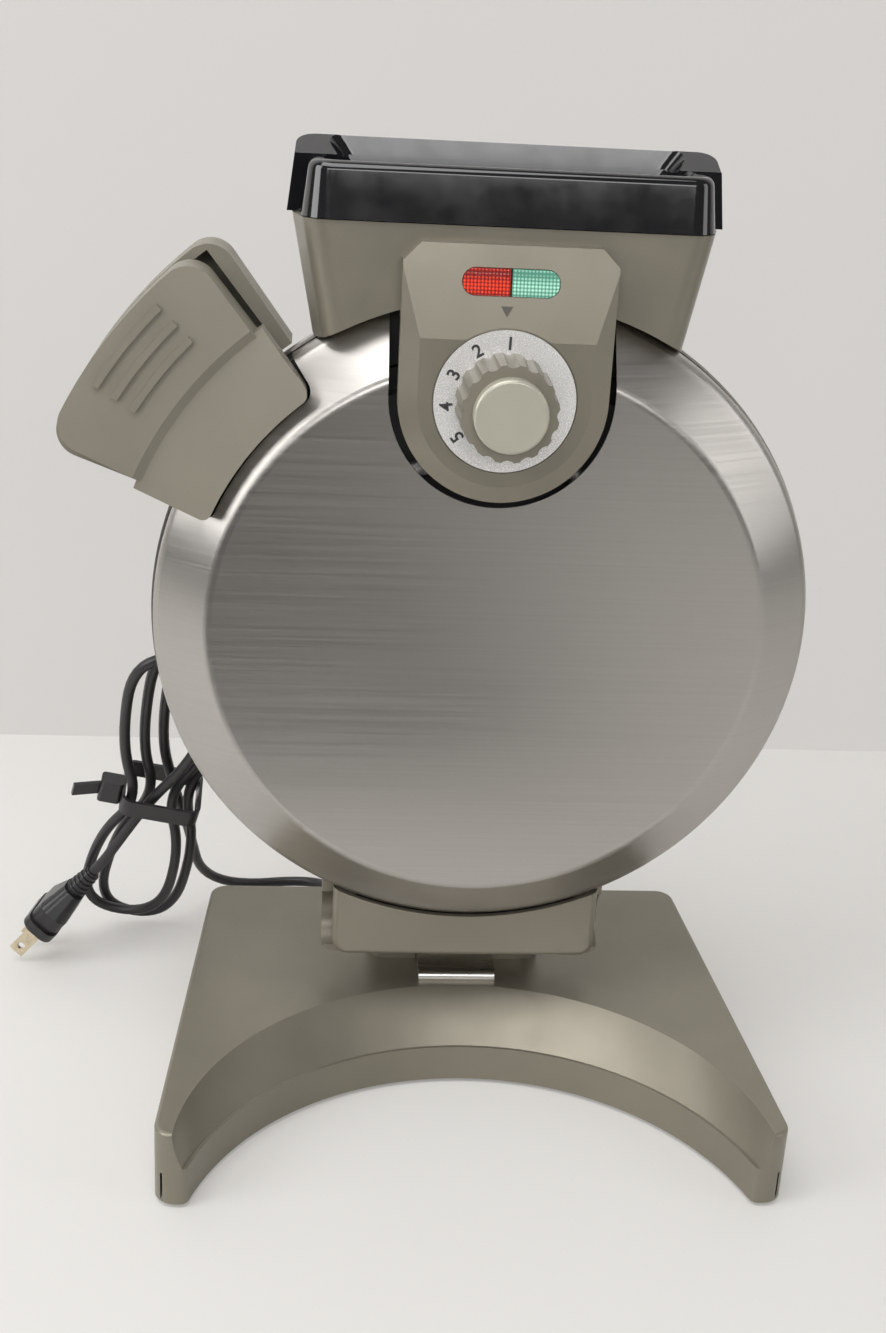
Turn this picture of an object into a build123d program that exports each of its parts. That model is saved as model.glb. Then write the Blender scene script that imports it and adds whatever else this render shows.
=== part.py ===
import os
from math import cos, hypot, pi, radians, sin, tan

from build123d import *

# Vertical waffle maker. Millimetres, +Z up, -Y is the front, X = 0 is the plane of symmetry of the
# head and the base. Z = 0 is the surface it stands on. The halves of the head part near Y = 0.

# Head
HEAD_Z = 179.0            # height of the centre of the round head
RIM_R = 112.0             # outer radius of the front steel cover
FACE_R = 93.2             # radius of its flat face
FACE_Y = -18.1            # its flat face
BEVEL_Y = -5.0            # where the bevel meets the straight flange
PART_Y = 2.0              # the plane where the halves meet
PART_GAP = 0.7            # open gap between the halves
REAR_RIM_R = 113.0        # outer radius of the rear steel cover
REAR_FACE_Y = 27.0        # its flat face
REAR_BEVEL_Y = 9.0
STEEL = 0.8               # sheet thickness of the covers
CLEAR = 0.35              # clearance between neighbouring pieces
FRONT_Y = PART_Y - PART_GAP / 2
BACK_Y = PART_Y + PART_GAP / 2

# Waffle plates
PLATE_R = 94.0
CAVITY_R = 84.0
CAVITY_D = 8.5            # depth of the half cavity in each plate
PLATE_T = 3.0             # thickness of the plate's floor
RIM_T = 4.0               # thickness of the plate's rim
POST = 8.0                # side of a grid post at its root
POST_H = 5.5
POST_PITCH = 17.0
POST_TAPER = 8.0
NECK_W = 40.0             # width of the pouring channel
HEATER_R = 62.0
HEATER_D = 6.4
REFLECTOR_R = 88.0
REFLECTOR_T = 0.5

# Frames that the plates and the covers are fixed to
FRAME_R = 94.5            # inner radius of the frame rings
FRAME_T = 4.5

# Pouring spout
SPOUT_TOP = 330.5
SPOUT_BACK_TOP = 336.3    # the rear half stands higher
SPOUT_BAND = 17.0         # height of the glossy band
SPOUT_W = 130.0           # width of the front band at its foot
SPOUT_BACK_W = 139.0      # width of the rear band at its foot
SPOUT_FRONT = 17.5        # reach in front of the parting plane
SPOUT_BACK = 15.5
SPOUT_CORNER = 9.0
SPOUT_TAPER = 7.0
SPOUT_MOUTH_W = 117.0
SPOUT_MOUTH_FRONT = 13.0
SPOUT_MOUTH_BACK = 11.5
SPOUT_WALL = 2.0
NECK_D = 5.0              # half depth of the pouring channel
NECK_Z = 290.0            # where the funnel has narrowed to the channel
HOUSING_W = 135.0         # width of the housing at its top, where the halves meet
HOUSING_FOOT_W = 119.2
HOUSING_FOOT_Z = 272.0
HOUSING_FRONT_IN = 4.5    # each side of the front half draws in by this towards the front
HOUSING_BACK_OUT = 1.0    # each side of the rear half spreads by this towards the back
HOUSING_CORNER = 8.0
HOUSING_WALL = 2.0

# Control panel and dial
DIAL_Z = 261.0
PANEL_R = 33.5
PANEL_TOP = 308.6
PANEL_CLIP = 5.5
PANEL_Y = -24.5
PANEL_TOP_Y = -20.5
PANEL_CREASE_Z = 280.0
PANEL_BEVEL = 6.0
PANEL_WALL = 2.0
NOTCH_R = 36.3            # the steel cover's notch around the panel
RING_R = 22.5
RING_HOLE_R = 14.0
RING_T = 0.8
KNOB_R = 15.8
KNOB_LOBES = 16
KNOB_Y = -42.0
CAP_R = 11.6
CAP_Y = -46.2
SHAFT_R = 3.0
SHAFT_FIT = 0.06          # radial running clearance of the shafts
DIAL_RANGE = 130.0        # from setting 1 to setting 5
LENS_L = 30.6
LENS_H = 8.6
LENS_Z = 297.6

# Handle, drawn in rings about the centre of the head
HANDLE_A = 142.5          # direction of its middle
PAD_R = 156.5
PAD_ROOT_R = 127.6
PAD_HALF = 13.8           # half angle of the pad
TONGUE_R = 100.3
TONGUE_HALF = 15.3
TONGUE_GAP = 1.1
TONGUE_CORNER = 3.0
TONGUE_SIDE_GAP = 0.6      # in degrees
PAD_CORNER = 9.0
REAR_HANDLE_HALF = 16.5
REAR_HANDLE_Y = 4.5
REAR_HANDLE_BACK = 24.0
REAR_HANDLE_WALL = 2.4
LEVER_PIN_R = 104.6
LEVER_PIN_Y = -13.0
LEVER_PIN_D = 3.0
HOOK_R = 122.0            # inner face of the hook's shank
HOOK_T = 1.5
HOOK_NOSE = 1.4
HOOK_END = 12.4
KEEPER_GAP = 0.6          # the nose stops this far short of the keeper
RIB_RADII = (137.5, 144.2, 151.0)

# Hinge
HINGE_Y = 2.0
HINGE_Z = 58.0
HINGE_PIN_D = 5.0
KNUCKLE_R = 5.2
HINGE_BOX_W = 96.5
HINGE_BOX_FRONT = -6.0
HINGE_BOX_FOOT = 50.0
HINGE_BOX_CORNER = 5.5
HINGE_WALL = 2.2
REAR_BOX_W = 104.0
REAR_BOX_DROP = 6.0       # the rear box reaches this far below the front one
KNUCKLE_HALF = 19.0       # half length of the middle knuckle

# Base and column
DECK_Z = 29.0
BASE_REAR = 84.7
BASE_FRONT = -84.5
BASE_REAR_W = 96.7
BASE_FRONT_W = 106.9
ARCH_Y = -112.7
ARCH_R = 99.6
ARCH_H = 15.4
SCOOP_Y = -92.7           # the scoop's circle where it leaves the deck
SCOOP_R = 100.6
TIP_CORNER_OUT = 7.5
TIP_CORNER_IN = 3.0
SHELL_T = 2.6
FOOT_H = 1.6
FOOT_D = 14.0
COLUMN_W = 68.0
COLUMN_FRONT = 27.35
COLUMN_BACK = 54.0
COLUMN_TOP = 124.0
STRAP_W = 29.0
STRAP_T = 4.0
STRAP_FRONT = 10.5
SCREW_D = 3.5
STRAP_SCREW_Z = (94.0, 106.0)

# Mains lead
CORD_D = 4.2
GLAND_X = -45.0
GLAND_Z = 12.0
GLAND_L = 22.0
HANK_LOOPS = 3
HANK_FOLD = 13.0          # radius of a fold
HANK_WAIST = 2.0          # half distance of the two sides at the tie
HANK_FAN = 6.5            # step across from loop to loop
TIE_AT = 0.5              # place of the tie along the hank
HANK_PITCH = 5.2          # step from loop to loop
HANK_LOW = (-135.0, 98.0, 5.0)
HANK_HIGH = (-97.5, 43.0, 150.0)

HEAD_AXIS = Axis((0, 0, HEAD_Z), (0, 1, 0))

os.makedirs("parts", exist_ok=True)


# Helpers
def front_plane(y):
    """A drawing plane parallel to the face of the head at the depth y, seen from the front."""
    return Plane.XZ.offset(-y)


def ray_plane(angle):
    """A drawing plane through the head's axis; its x runs back and its y outwards at the angle."""
    a = radians(angle)
    return Plane(origin=(0, 0, HEAD_Z), x_dir=(0, 1, 0), z_dir=(sin(a), 0, -cos(a)))


def ray_point(radius, angle, y=0.0):
    """A point at a radius and an angle about the head's axis."""
    a = radians(angle)
    return (radius * cos(a), y, HEAD_Z + radius * sin(a))


def axis_distance(edge):
    """Distance of an edge's middle from the head's axis."""
    return hypot(edge.center().X, edge.center().Z - HEAD_Z)


def wedge(inner, outer, y0, y1, a0, a1, corner=0.0):
    """A sector of a ring about the head's axis, with its two inner corners rounded on demand."""
    with BuildPart(mode=Mode.PRIVATE) as piece:
        with BuildSketch(ray_plane(a1)):
            with Locations(((y0 + y1) / 2, (inner + outer) / 2)):
                Rectangle(abs(y1 - y0), outer - inner)
        revolve(axis=HEAD_AXIS, revolution_arc=a1 - a0)
        if corner:
            inner_edges = [e for e in piece.edges().filter_by(Axis.Y) if axis_distance(e) < inner + 0.1]
            fillet(inner_edges, radius=corner)
    return piece.part


def block(x0, x1, y0, y1, z0, z1):
    """A plain block between two corners."""
    with BuildPart(mode=Mode.PRIVATE) as piece:
        with Locations(((x0 + x1) / 2, (y0 + y1) / 2, (z0 + z1) / 2)):
            Box(abs(x1 - x0), abs(y1 - y0), abs(z1 - z0))
    return piece.part


def rod(radius, start, end):
    """A round rod between two points."""
    way = Vector(*end) - Vector(*start)
    with BuildPart(mode=Mode.PRIVATE) as piece:
        with BuildSketch(Plane(origin=start, z_dir=way)):
            Circle(radius)
        extrude(amount=way.length)
    return piece.part


def save(piece, name):
    """Label a finished piece and write its file."""
    piece.label = name
    export_step(piece, f"parts/{name}.step")


def cover_profile(face_y, bevel_y, end_y, face_r, rim_r, sheet):
    """Half section of a dished cover: flat face, bevel and straight flange."""
    s = 1 if end_y > face_y else -1
    with BuildLine() as line:
        outer = FilletPolyline((face_y, 0), (face_y, face_r), (bevel_y, rim_r), (end_y, rim_r), radius=5)
        inner = FilletPolyline(
            (face_y + s * sheet, 0),
            (face_y + s * sheet, face_r - 0.35 * sheet),
            (bevel_y + s * 0.4 * sheet, rim_r - sheet),
            (end_y, rim_r - sheet),
            radius=5 - sheet,
        )
        Line(outer @ 0, inner @ 0)
        Line(outer @ 1, inner @ 1)
    return line.line


# Steel covers
with BuildPart() as lid_cover:
    with BuildSketch(ray_plane(90)) as lid_section:
        with BuildLine():
            add(cover_profile(FACE_Y, BEVEL_Y, FRONT_Y - 0.3, FACE_R, RIM_R, STEEL))
        make_face()
    revolve(axis=HEAD_AXIS)
    # notch for the control panel
    with BuildSketch(front_plane(FACE_Y - 5)):
        with Locations((0, DIAL_Z)):
            Circle(NOTCH_R)
        with Locations((0, DIAL_Z + RIM_R / 2)):
            Rectangle(2 * NOTCH_R, RIM_R)
    extrude(amount=-40, mode=Mode.SUBTRACT)
    # notch for the tongue of the handle
    add(
        wedge(TONGUE_R - TONGUE_GAP, RIM_R + 3, FACE_Y - 2, PART_Y, HANDLE_A - TONGUE_HALF - TONGUE_SIDE_GAP,
              HANDLE_A + TONGUE_HALF + TONGUE_SIDE_GAP, TONGUE_CORNER + TONGUE_GAP),
        mode=Mode.SUBTRACT,
    )
    # relief for the foot of the frame, behind the visible lip
    add(block(-41, 41, -2.6, PART_Y, 60, HEAD_Z - 100), mode=Mode.SUBTRACT)
save(lid_cover.part, "lid_cover")

with BuildPart() as rear_cover:
    with BuildSketch(ray_plane(90)):
        with BuildLine():
            add(cover_profile(REAR_FACE_Y, REAR_BEVEL_Y, BACK_Y + 0.3, FACE_R, REAR_RIM_R, STEEL))
        make_face()
    revolve(axis=HEAD_AXIS)
    # openings for the neck of the spout, the handle's root and the hinge
    add(block(-32, 32, 0, 22, HEAD_Z + FACE_R - 5, HEAD_Z + REAR_RIM_R + 7), mode=Mode.SUBTRACT)
    add(wedge(RIM_R - 6, REAR_RIM_R + 3, 0, 8, HANDLE_A - 9.5, HANDLE_A + 9.5), mode=Mode.SUBTRACT)
    add(block(-42, 42, 0, 8.5, 60, HEAD_Z - 100), mode=Mode.SUBTRACT)
    for screw_z in STRAP_SCREW_Z:
        add(rod(SCREW_D / 2 + 0.1, (0, REAR_FACE_Y - 5, screw_z), (0, REAR_FACE_Y + 5, screw_z)), mode=Mode.SUBTRACT)
save(rear_cover.part, "rear_cover")


# Frame rings
def frame_ring(y0, y1, name, outer):
    with BuildPart() as ring:
        with BuildSketch(front_plane(y0)):
            with Locations((0, HEAD_Z)):
                Circle(outer)
                Circle(FRAME_R, mode=Mode.SUBTRACT)
        extrude(amount=-(y1 - y0))
        # foot that carries the hinge box
        foot = block(-40, 40, y0 + 1.6 if y0 < 0 else y0, y1 if y0 < 0 else y1 - 1.6,
                     HEAD_Z - outer - 3.0, HEAD_Z - FRAME_R - 6)
        add(foot)
        add(block(-38, 38, y0 - 1, y1 + 1, HEAD_Z - FRAME_R - 4, HEAD_Z), mode=Mode.SUBTRACT)
        # opening for the neck
        add(block(-NECK_W / 2 - 4, NECK_W / 2 + 4, y0 - 1, y1 + 1, HEAD_Z + FRAME_R - 14,
                  HEAD_Z + RIM_R + 8), mode=Mode.SUBTRACT)
        if y0 > 0:
            add(wedge(RIM_R - 4.2, RIM_R + 3, y0 - 1, y1 + 1, HANDLE_A - 9, HANDLE_A + 9), mode=Mode.SUBTRACT)
    save(ring.part, name)
    return ring


lid_frame = frame_ring(FRONT_Y - FRAME_T, FRONT_Y, "lid_frame", RIM_R - STEEL - CLEAR)
rear_frame = frame_ring(BACK_Y, BACK_Y + FRAME_T, "rear_frame", REAR_RIM_R - STEEL - CLEAR)


# Waffle plates
def waffle_plate(face, way, name):
    """A cast plate: rim, cavity with grid posts, and the pouring channel. way is -1 forwards, 1 back."""
    floor = face + way * CAVITY_D
    rows = range(-4, 5)
    grid = [
        (POST_PITCH * i, HEAD_Z + POST_PITCH * k)
        for i in rows
        for k in rows
        if hypot(POST_PITCH * i, POST_PITCH * k) < CAVITY_R - 10
    ]
    with BuildPart() as plate:
        with BuildSketch(front_plane(face)):
            with Locations((0, HEAD_Z)):
                Circle(PLATE_R - CLEAR)
        extrude(amount=-way * RIM_T)
        with BuildSketch(front_plane(face)):
            with Locations((0, HEAD_Z)):
                Circle(CAVITY_R + PLATE_T)
        extrude(amount=-way * (CAVITY_D + PLATE_T))
        # neck
        with BuildSketch(front_plane(face)):
            with Locations((0, HEAD_Z + (CAVITY_R + NECK_Z - HEAD_Z) / 2)):
                Rectangle(NECK_W + 2 * PLATE_T, NECK_Z - HEAD_Z - CAVITY_R - 2 * CLEAR)
        extrude(amount=-way * (NECK_D + PLATE_T))
        with BuildSketch(front_plane(face)):
            with Locations((0, HEAD_Z)):
                Circle(CAVITY_R)
        extrude(amount=-way * CAVITY_D, mode=Mode.SUBTRACT)
        with BuildSketch(front_plane(face)):
            with Locations((0, HEAD_Z + (CAVITY_R - 8 + NECK_Z - HEAD_Z) / 2)):
                Rectangle(NECK_W, NECK_Z - HEAD_Z - CAVITY_R + 8)
        extrude(amount=-way * NECK_D, mode=Mode.SUBTRACT)
        with BuildSketch(front_plane(floor)):
            with Locations(*grid):
                Rectangle(POST, POST)
        extrude(amount=way * POST_H, taper=POST_TAPER)
    save(plate.part, name)
    return plate


front_plate = waffle_plate(FRONT_Y, -1, "front_plate")
rear_plate = waffle_plate(BACK_Y, 1, "rear_plate")


# Heating elements and reflectors behind the plates
def heater(y, way, name):
    """A tubular ring, open at its foot, with two pins turned away from the plate."""
    gap = 14.0
    with BuildPart() as tube:
        with BuildSketch(ray_plane(270 - gap)):
            with Locations((y, HEATER_R)):
                Circle(HEATER_D / 2)
        revolve(axis=HEAD_AXIS, revolution_arc=360 - 2 * gap)
    save(tube.part, name)
    return tube


PLATE_BACK_FRONT = FRONT_Y - CAVITY_D - PLATE_T
PLATE_BACK_REAR = BACK_Y + CAVITY_D + PLATE_T
HEATER_GAP = 0.15
front_heater = heater(PLATE_BACK_FRONT - HEATER_D / 2 - HEATER_GAP, -1, "front_heater")
rear_heater = heater(PLATE_BACK_REAR + HEATER_D / 2 + HEATER_GAP, 1, "rear_heater")


def reflector(y, way, name, notch):
    with BuildPart() as sheet:
        with BuildSketch(front_plane(y)):
            with Locations((0, HEAD_Z)):
                Circle(REFLECTOR_R)
            if notch:
                with Locations((0, DIAL_Z)):
                    Circle(NOTCH_R, mode=Mode.SUBTRACT)
                with Locations((0, DIAL_Z + 20)):
                    Rectangle(2 * NOTCH_R, 40, mode=Mode.SUBTRACT)
        extrude(amount=-way * REFLECTOR_T)
    save(sheet.part, name)
    return sheet


REAR_REFLECTOR_Y = PLATE_BACK_REAR + HEATER_D + 2 * HEATER_GAP
front_reflector = reflector(FACE_Y + STEEL + 0.2 + REFLECTOR_T, -1, "front_reflector", True)
rear_reflector = reflector(REAR_REFLECTOR_Y, 1, "rear_reflector", False)


# Pouring spout: a glossy funnel in two halves
def funnel(front, name):
    """One half of the funnel liner, with its band around the mouth."""
    reach = SPOUT_FRONT if front else SPOUT_BACK
    mouth = SPOUT_MOUTH_FRONT if front else SPOUT_MOUTH_BACK
    top = SPOUT_TOP if front else SPOUT_BACK_TOP
    width = SPOUT_W if front else SPOUT_BACK_W
    foot = SPOUT_TOP - SPOUT_BAND
    with BuildPart() as half:
        with BuildSketch(Plane.XY.offset(foot)):
            with Locations((0, PART_Y)):
                RectangleRounded(width, 2 * reach, SPOUT_CORNER)
        extrude(amount=top - foot, taper=SPOUT_TAPER)
        fillet(half.faces().sort_by(Axis.Z)[-1].edges(), radius=3.0)
        # outside of the funnel below the band
        with BuildSketch(Plane.XY.offset(foot)):
            with Locations((0, PART_Y)):
                Rectangle(SPOUT_MOUTH_W - 18, 2 * mouth - 3)
        with BuildSketch(Plane.XY.offset(NECK_Z)):
            with Locations((0, PART_Y)):
                Rectangle(NECK_W + 2 * SPOUT_WALL, 2 * (NECK_D + SPOUT_WALL))
        loft()
        # inside
        with BuildSketch(Plane.XY.offset(top + 0.01)):
            with Locations((0, PART_Y)):
                RectangleRounded(SPOUT_MOUTH_W, 2 * mouth, 6)
        with BuildSketch(Plane.XY.offset(top - 6)):
            with Locations((0, PART_Y)):
                RectangleRounded(SPOUT_MOUTH_W - 10, 2 * mouth - 1.5, 5)
        loft(mode=Mode.SUBTRACT)
        with BuildSketch(Plane.XY.offset(top - 5.99)):
            with Locations((0, PART_Y)):
                Rectangle(SPOUT_MOUTH_W - 16, 2 * mouth - 3)
        with BuildSketch(Plane.XY.offset(NECK_Z - 0.01)):
            with Locations((0, PART_Y)):
                Rectangle(NECK_W, 2 * NECK_D)
        loft(mode=Mode.SUBTRACT)
        # keep one half
        if front:
            add(block(-90, 90, FRONT_Y, 60, NECK_Z - 10, top + 10), mode=Mode.SUBTRACT)
        else:
            add(block(-90, 90, -60, BACK_Y, NECK_Z - 10, top + 10), mode=Mode.SUBTRACT)
            # its ends slope down to the front half
            with BuildSketch(Plane.YZ.offset(-90)):
                with BuildLine():
                    Polyline(
                        (BACK_Y - 1, SPOUT_TOP + 0.5),
                        (BACK_Y + 1, SPOUT_TOP + 0.5),
                        (PART_Y + mouth, SPOUT_BACK_TOP),
                        (PART_Y + mouth, top + 10),
                        (BACK_Y - 1, top + 10),
                        close=True,
                    )
                make_face()
            extrude(amount=180, mode=Mode.SUBTRACT)
    save(half.part, name)
    return half


front_spout_liner = funnel(True, "front_spout_liner")
rear_spout_liner = funnel(False, "rear_spout_liner")


def housing_block(near, far, draw_in, wall, over, rim, corner):
    """The housing's body from its open side to its closed side, rounded at the closed side."""
    top = SPOUT_TOP - SPOUT_BAND - CLEAR + over
    with BuildPart(mode=Mode.PRIVATE) as piece:
        for y, narrow in ((near, wall), (far, draw_in + wall)):
            half = HOUSING_W / 2 - narrow
            foot = HOUSING_FOOT_W / 2 - narrow
            with BuildSketch(front_plane(y)):
                with BuildLine():
                    Polyline((-half, top), (half, top), (foot, HOUSING_FOOT_Z), (-foot, HOUSING_FOOT_Z), close=True)
                make_face()
        loft()
        closed = piece.faces().sort_by(Axis.Y)[0 if far < near else -1]
        upright = closed.edges().sort_by(lambda e: abs(e.center().X))[-2:]
        fillet(upright, radius=corner)
        with BuildSketch(front_plane(near - 40)):
            with Locations((0, HEAD_Z)):
                Circle(rim)
        extrude(amount=-80, mode=Mode.SUBTRACT)
    return piece.part


def spout_housing(front, name):
    """Painted shell under the band: it widens upwards, and its foot follows the round head."""
    reach = SPOUT_FRONT - 0.8 if front else SPOUT_BACK - 0.8
    rim = RIM_R + 0.9 if front else REAR_RIM_R + CLEAR
    draw_in = HOUSING_FRONT_IN if front else -HOUSING_BACK_OUT
    side = -1 if front else 1
    near = FRONT_Y if front else BACK_Y
    far = PART_Y + side * reach
    with BuildPart() as shell:
        add(housing_block(near, far, draw_in, 0, 0, rim, HOUSING_CORNER))
        add(
            housing_block(near - side, far - side * HOUSING_WALL, draw_in, HOUSING_WALL, 1, rim + HOUSING_WALL,
                          HOUSING_CORNER - HOUSING_WALL),
            mode=Mode.SUBTRACT,
        )
        # passage for the neck
        add(block(-NECK_W / 2 - 5, NECK_W / 2 + 5, near - side, far - side * HOUSING_WALL, HEAD_Z + 100, NECK_Z + 6),
            mode=Mode.SUBTRACT)
        if front:
            # window behind the control panel
            add(block(-26, 26, far - 2, far + 4, LENS_Z - 28, LENS_Z + 5), mode=Mode.SUBTRACT)
    save(shell.part, name)
    return shell


front_spout_housing = spout_housing(True, "front_spout_housing")
rear_spout_housing = spout_housing(False, "rear_spout_housing")


# Control panel: a raised boss whose lower end is round and whose upper face leans back
def panel_outline(inset):
    """Outline of the boss, drawn from the front and shrunk by the inset."""
    half = PANEL_R - inset
    top = PANEL_TOP - inset
    clip = PANEL_CLIP
    with BuildLine() as line:
        ThreePointArc((-half, DIAL_Z), (0, DIAL_Z - half), (half, DIAL_Z))
        Polyline(
            (half, DIAL_Z),
            (half, top - clip),
            (half - clip, top),
            (-half + clip, top),
            (-half, top - clip),
            (-half, DIAL_Z),
        )
    return line.line


PANEL_BACK = PART_Y - SPOUT_FRONT + 0.8 - 0.02
PANEL_SKIRT = FACE_Y + STEEL + 0.5
with BuildPart() as control_panel:
    with BuildSketch(front_plane(PANEL_Y + PANEL_BEVEL * 0.5)):
        with BuildLine():
            add(panel_outline(0))
        make_face()
    extrude(amount=-(PANEL_BACK - PANEL_Y - PANEL_BEVEL * 0.5))
    with BuildSketch(front_plane(PANEL_Y + PANEL_BEVEL * 0.5)):
        with BuildLine():
            add(panel_outline(0))
        make_face()
    with BuildSketch(front_plane(PANEL_Y)):
        with BuildLine():
            add(panel_outline(PANEL_BEVEL))
        make_face()
    loft()
    # the upper face leans back
    lean = (PANEL_TOP_Y - PANEL_Y) / (PANEL_TOP - PANEL_CREASE_Z)
    with BuildSketch(Plane.YZ.offset(-50)):
        with BuildLine():
            Polyline(
                (PANEL_Y - 6, PANEL_CREASE_Z),
                (PANEL_Y, PANEL_CREASE_Z),
                (PANEL_Y + lean * (PANEL_TOP + 6 - PANEL_CREASE_Z), PANEL_TOP + 6),
                (PANEL_Y - 6, PANEL_TOP + 6),
                close=True,
            )
        make_face()
    extrude(amount=100, mode=Mode.SUBTRACT)
    # the boss stands on the front housing above the rim and reaches into the notch below it
    add(block(-60, 60, PANEL_SKIRT, 0, DIAL_Z - 50, HEAD_Z + RIM_R - 6), mode=Mode.SUBTRACT)
    # hollow for the thermostat and the lamps
    with BuildSketch(front_plane(PANEL_Y + 2.5)):
        with Locations((0, DIAL_Z)):
            Circle(PANEL_R - PANEL_BEVEL)
        with Locations((0, DIAL_Z + 10)):
            Rectangle(2 * (PANEL_R - PANEL_BEVEL), 20)
    extrude(amount=-20, mode=Mode.SUBTRACT)
    with BuildSketch(front_plane(PANEL_Y + 6.5)):
        with Locations((0, LENS_Z - 7)):
            Rectangle(46, 22)
    extrude(amount=-20, mode=Mode.SUBTRACT)
    # window for the two lenses
    with BuildSketch(front_plane(PANEL_Y - 3)):
        with Locations((0, LENS_Z)):
            SlotOverall(LENS_L, LENS_H)
    extrude(amount=-20, mode=Mode.SUBTRACT)
    # bore for the dial's shaft, and the shallow seat of the number ring
    with BuildSketch(front_plane(PANEL_Y)):
        with Locations((0, DIAL_Z)):
            Circle(RING_R + 0.5)
    extrude(amount=-0.6, mode=Mode.SUBTRACT)
    with BuildSketch(front_plane(PANEL_Y)):
        with Locations((0, DIAL_Z)):
            Circle(SHAFT_R + SHAFT_FIT)
    extrude(amount=-20, mode=Mode.SUBTRACT)
save(control_panel.part, "control_panel")


# Lenses: the capsule is red on the left and green on the right, side by side in the leaning face
def lens(side, name):
    with BuildPart() as piece:
        with BuildSketch(front_plane(-22.9)):
            with Locations((0, LENS_Z)):
                SlotOverall(LENS_L - 0.4, LENS_H - 0.4)
            with Locations((-side * 20, LENS_Z)):
                Rectangle(40.6, 20, mode=Mode.SUBTRACT)
        extrude(amount=-4.4)
        with BuildSketch(Plane.YZ.offset(-50)):
            with BuildLine():
                Polyline(
                    (PANEL_Y - 6, PANEL_CREASE_Z),
                    (PANEL_Y, PANEL_CREASE_Z),
                    (PANEL_Y + lean * (PANEL_TOP + 6 - PANEL_CREASE_Z), PANEL_TOP + 6),
                    (PANEL_Y - 6, PANEL_TOP + 6),
                    close=True,
                )
            make_face()
        extrude(amount=100, mode=Mode.SUBTRACT)
    save(piece.part, name)
    return piece


red_lens = lens(-1, "red_lens")
green_lens = lens(1, "green_lens")

LAMP_BOARD_Y = PANEL_BACK + 0.55
with BuildPart() as lamp_board:
    with Locations((0, LAMP_BOARD_Y, LENS_Z - 7)):
        Box(42, 1.6, 20)
save(lamp_board.part, "lamp_board")

with BuildPart() as lamps:
    for lamp_x in (-8, 8):
        with BuildSketch(front_plane(LAMP_BOARD_Y - 0.8)):
            with Locations((lamp_x, LENS_Z)):
                Circle(1.6)
        extrude(amount=2.0)
save(lamps.part, "indicator_lamps")

THERMOSTAT_FRONT = PANEL_Y + 2.5
THERMOSTAT_BACK = PLATE_BACK_FRONT - 1.0
with BuildPart() as thermostat:
    with BuildSketch(front_plane(THERMOSTAT_FRONT)):
        with Locations((0, DIAL_Z)):
            RectangleRounded(24, 24, 3)
            Circle(SHAFT_R + SHAFT_FIT, mode=Mode.SUBTRACT)
    extrude(amount=-(THERMOSTAT_BACK - THERMOSTAT_FRONT))
save(thermostat.part, "thermostat")

# Dial: number ring, scalloped knob, cap and shaft turn together
DIAL_BACK = PANEL_Y + 0.6 - CLEAR
with BuildPart() as dial_ring:
    with BuildSketch(front_plane(DIAL_BACK)):
        with Locations((0, DIAL_Z)):
            Circle(RING_R)
            Circle(RING_HOLE_R, mode=Mode.SUBTRACT)
    extrude(amount=RING_T)
save(dial_ring.part, "dial_ring")

with BuildPart() as dial_knob:
    with BuildSketch(front_plane(DIAL_BACK)):
        with Locations((0, DIAL_Z)):
            Circle(RING_HOLE_R)
    extrude(amount=RING_T)
    with BuildSketch(front_plane(DIAL_BACK - RING_T)):
        with Locations((0, DIAL_Z)):
            Circle(KNOB_R)
        with Locations((0, DIAL_Z)):
            with PolarLocations(KNOB_R + 1.3, KNOB_LOBES):
                Circle(2.2, mode=Mode.SUBTRACT)
    extrude(amount=DIAL_BACK - RING_T - KNOB_Y, taper=2)
    with BuildSketch(front_plane(DIAL_BACK)):
        with Locations((0, DIAL_Z)):
            Circle(SHAFT_R)
    extrude(amount=9, mode=Mode.SUBTRACT)
save(dial_knob.part, "dial_knob")

with BuildPart() as dial_cap:
    with BuildSketch(front_plane(KNOB_Y)):
        with Locations((0, DIAL_Z)):
            Circle(CAP_R)
    extrude(amount=KNOB_Y - CAP_Y)
    fillet(dial_cap.faces().sort_by(Axis.Y)[0].edges(), radius=1.2)
save(dial_cap.part, "dial_cap")

with BuildPart() as dial_shaft:
    with BuildSketch(front_plane(THERMOSTAT_BACK - 1.0)):
        with Locations((0, DIAL_Z)):
            Circle(SHAFT_R)
    extrude(amount=THERMOSTAT_BACK - 1.0 - DIAL_BACK + 9)
save(dial_shaft.part, "dial_shaft")


# Handle. The front half is a lever on a pin; the rear half is fixed
def corners(part, radius_from):
    """Edges that run along the head's axis and lie beyond a radius."""
    return [
        e
        for e in part.edges().filter_by(Axis.Y)
        if axis_distance(e) > radius_from
    ]


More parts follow.
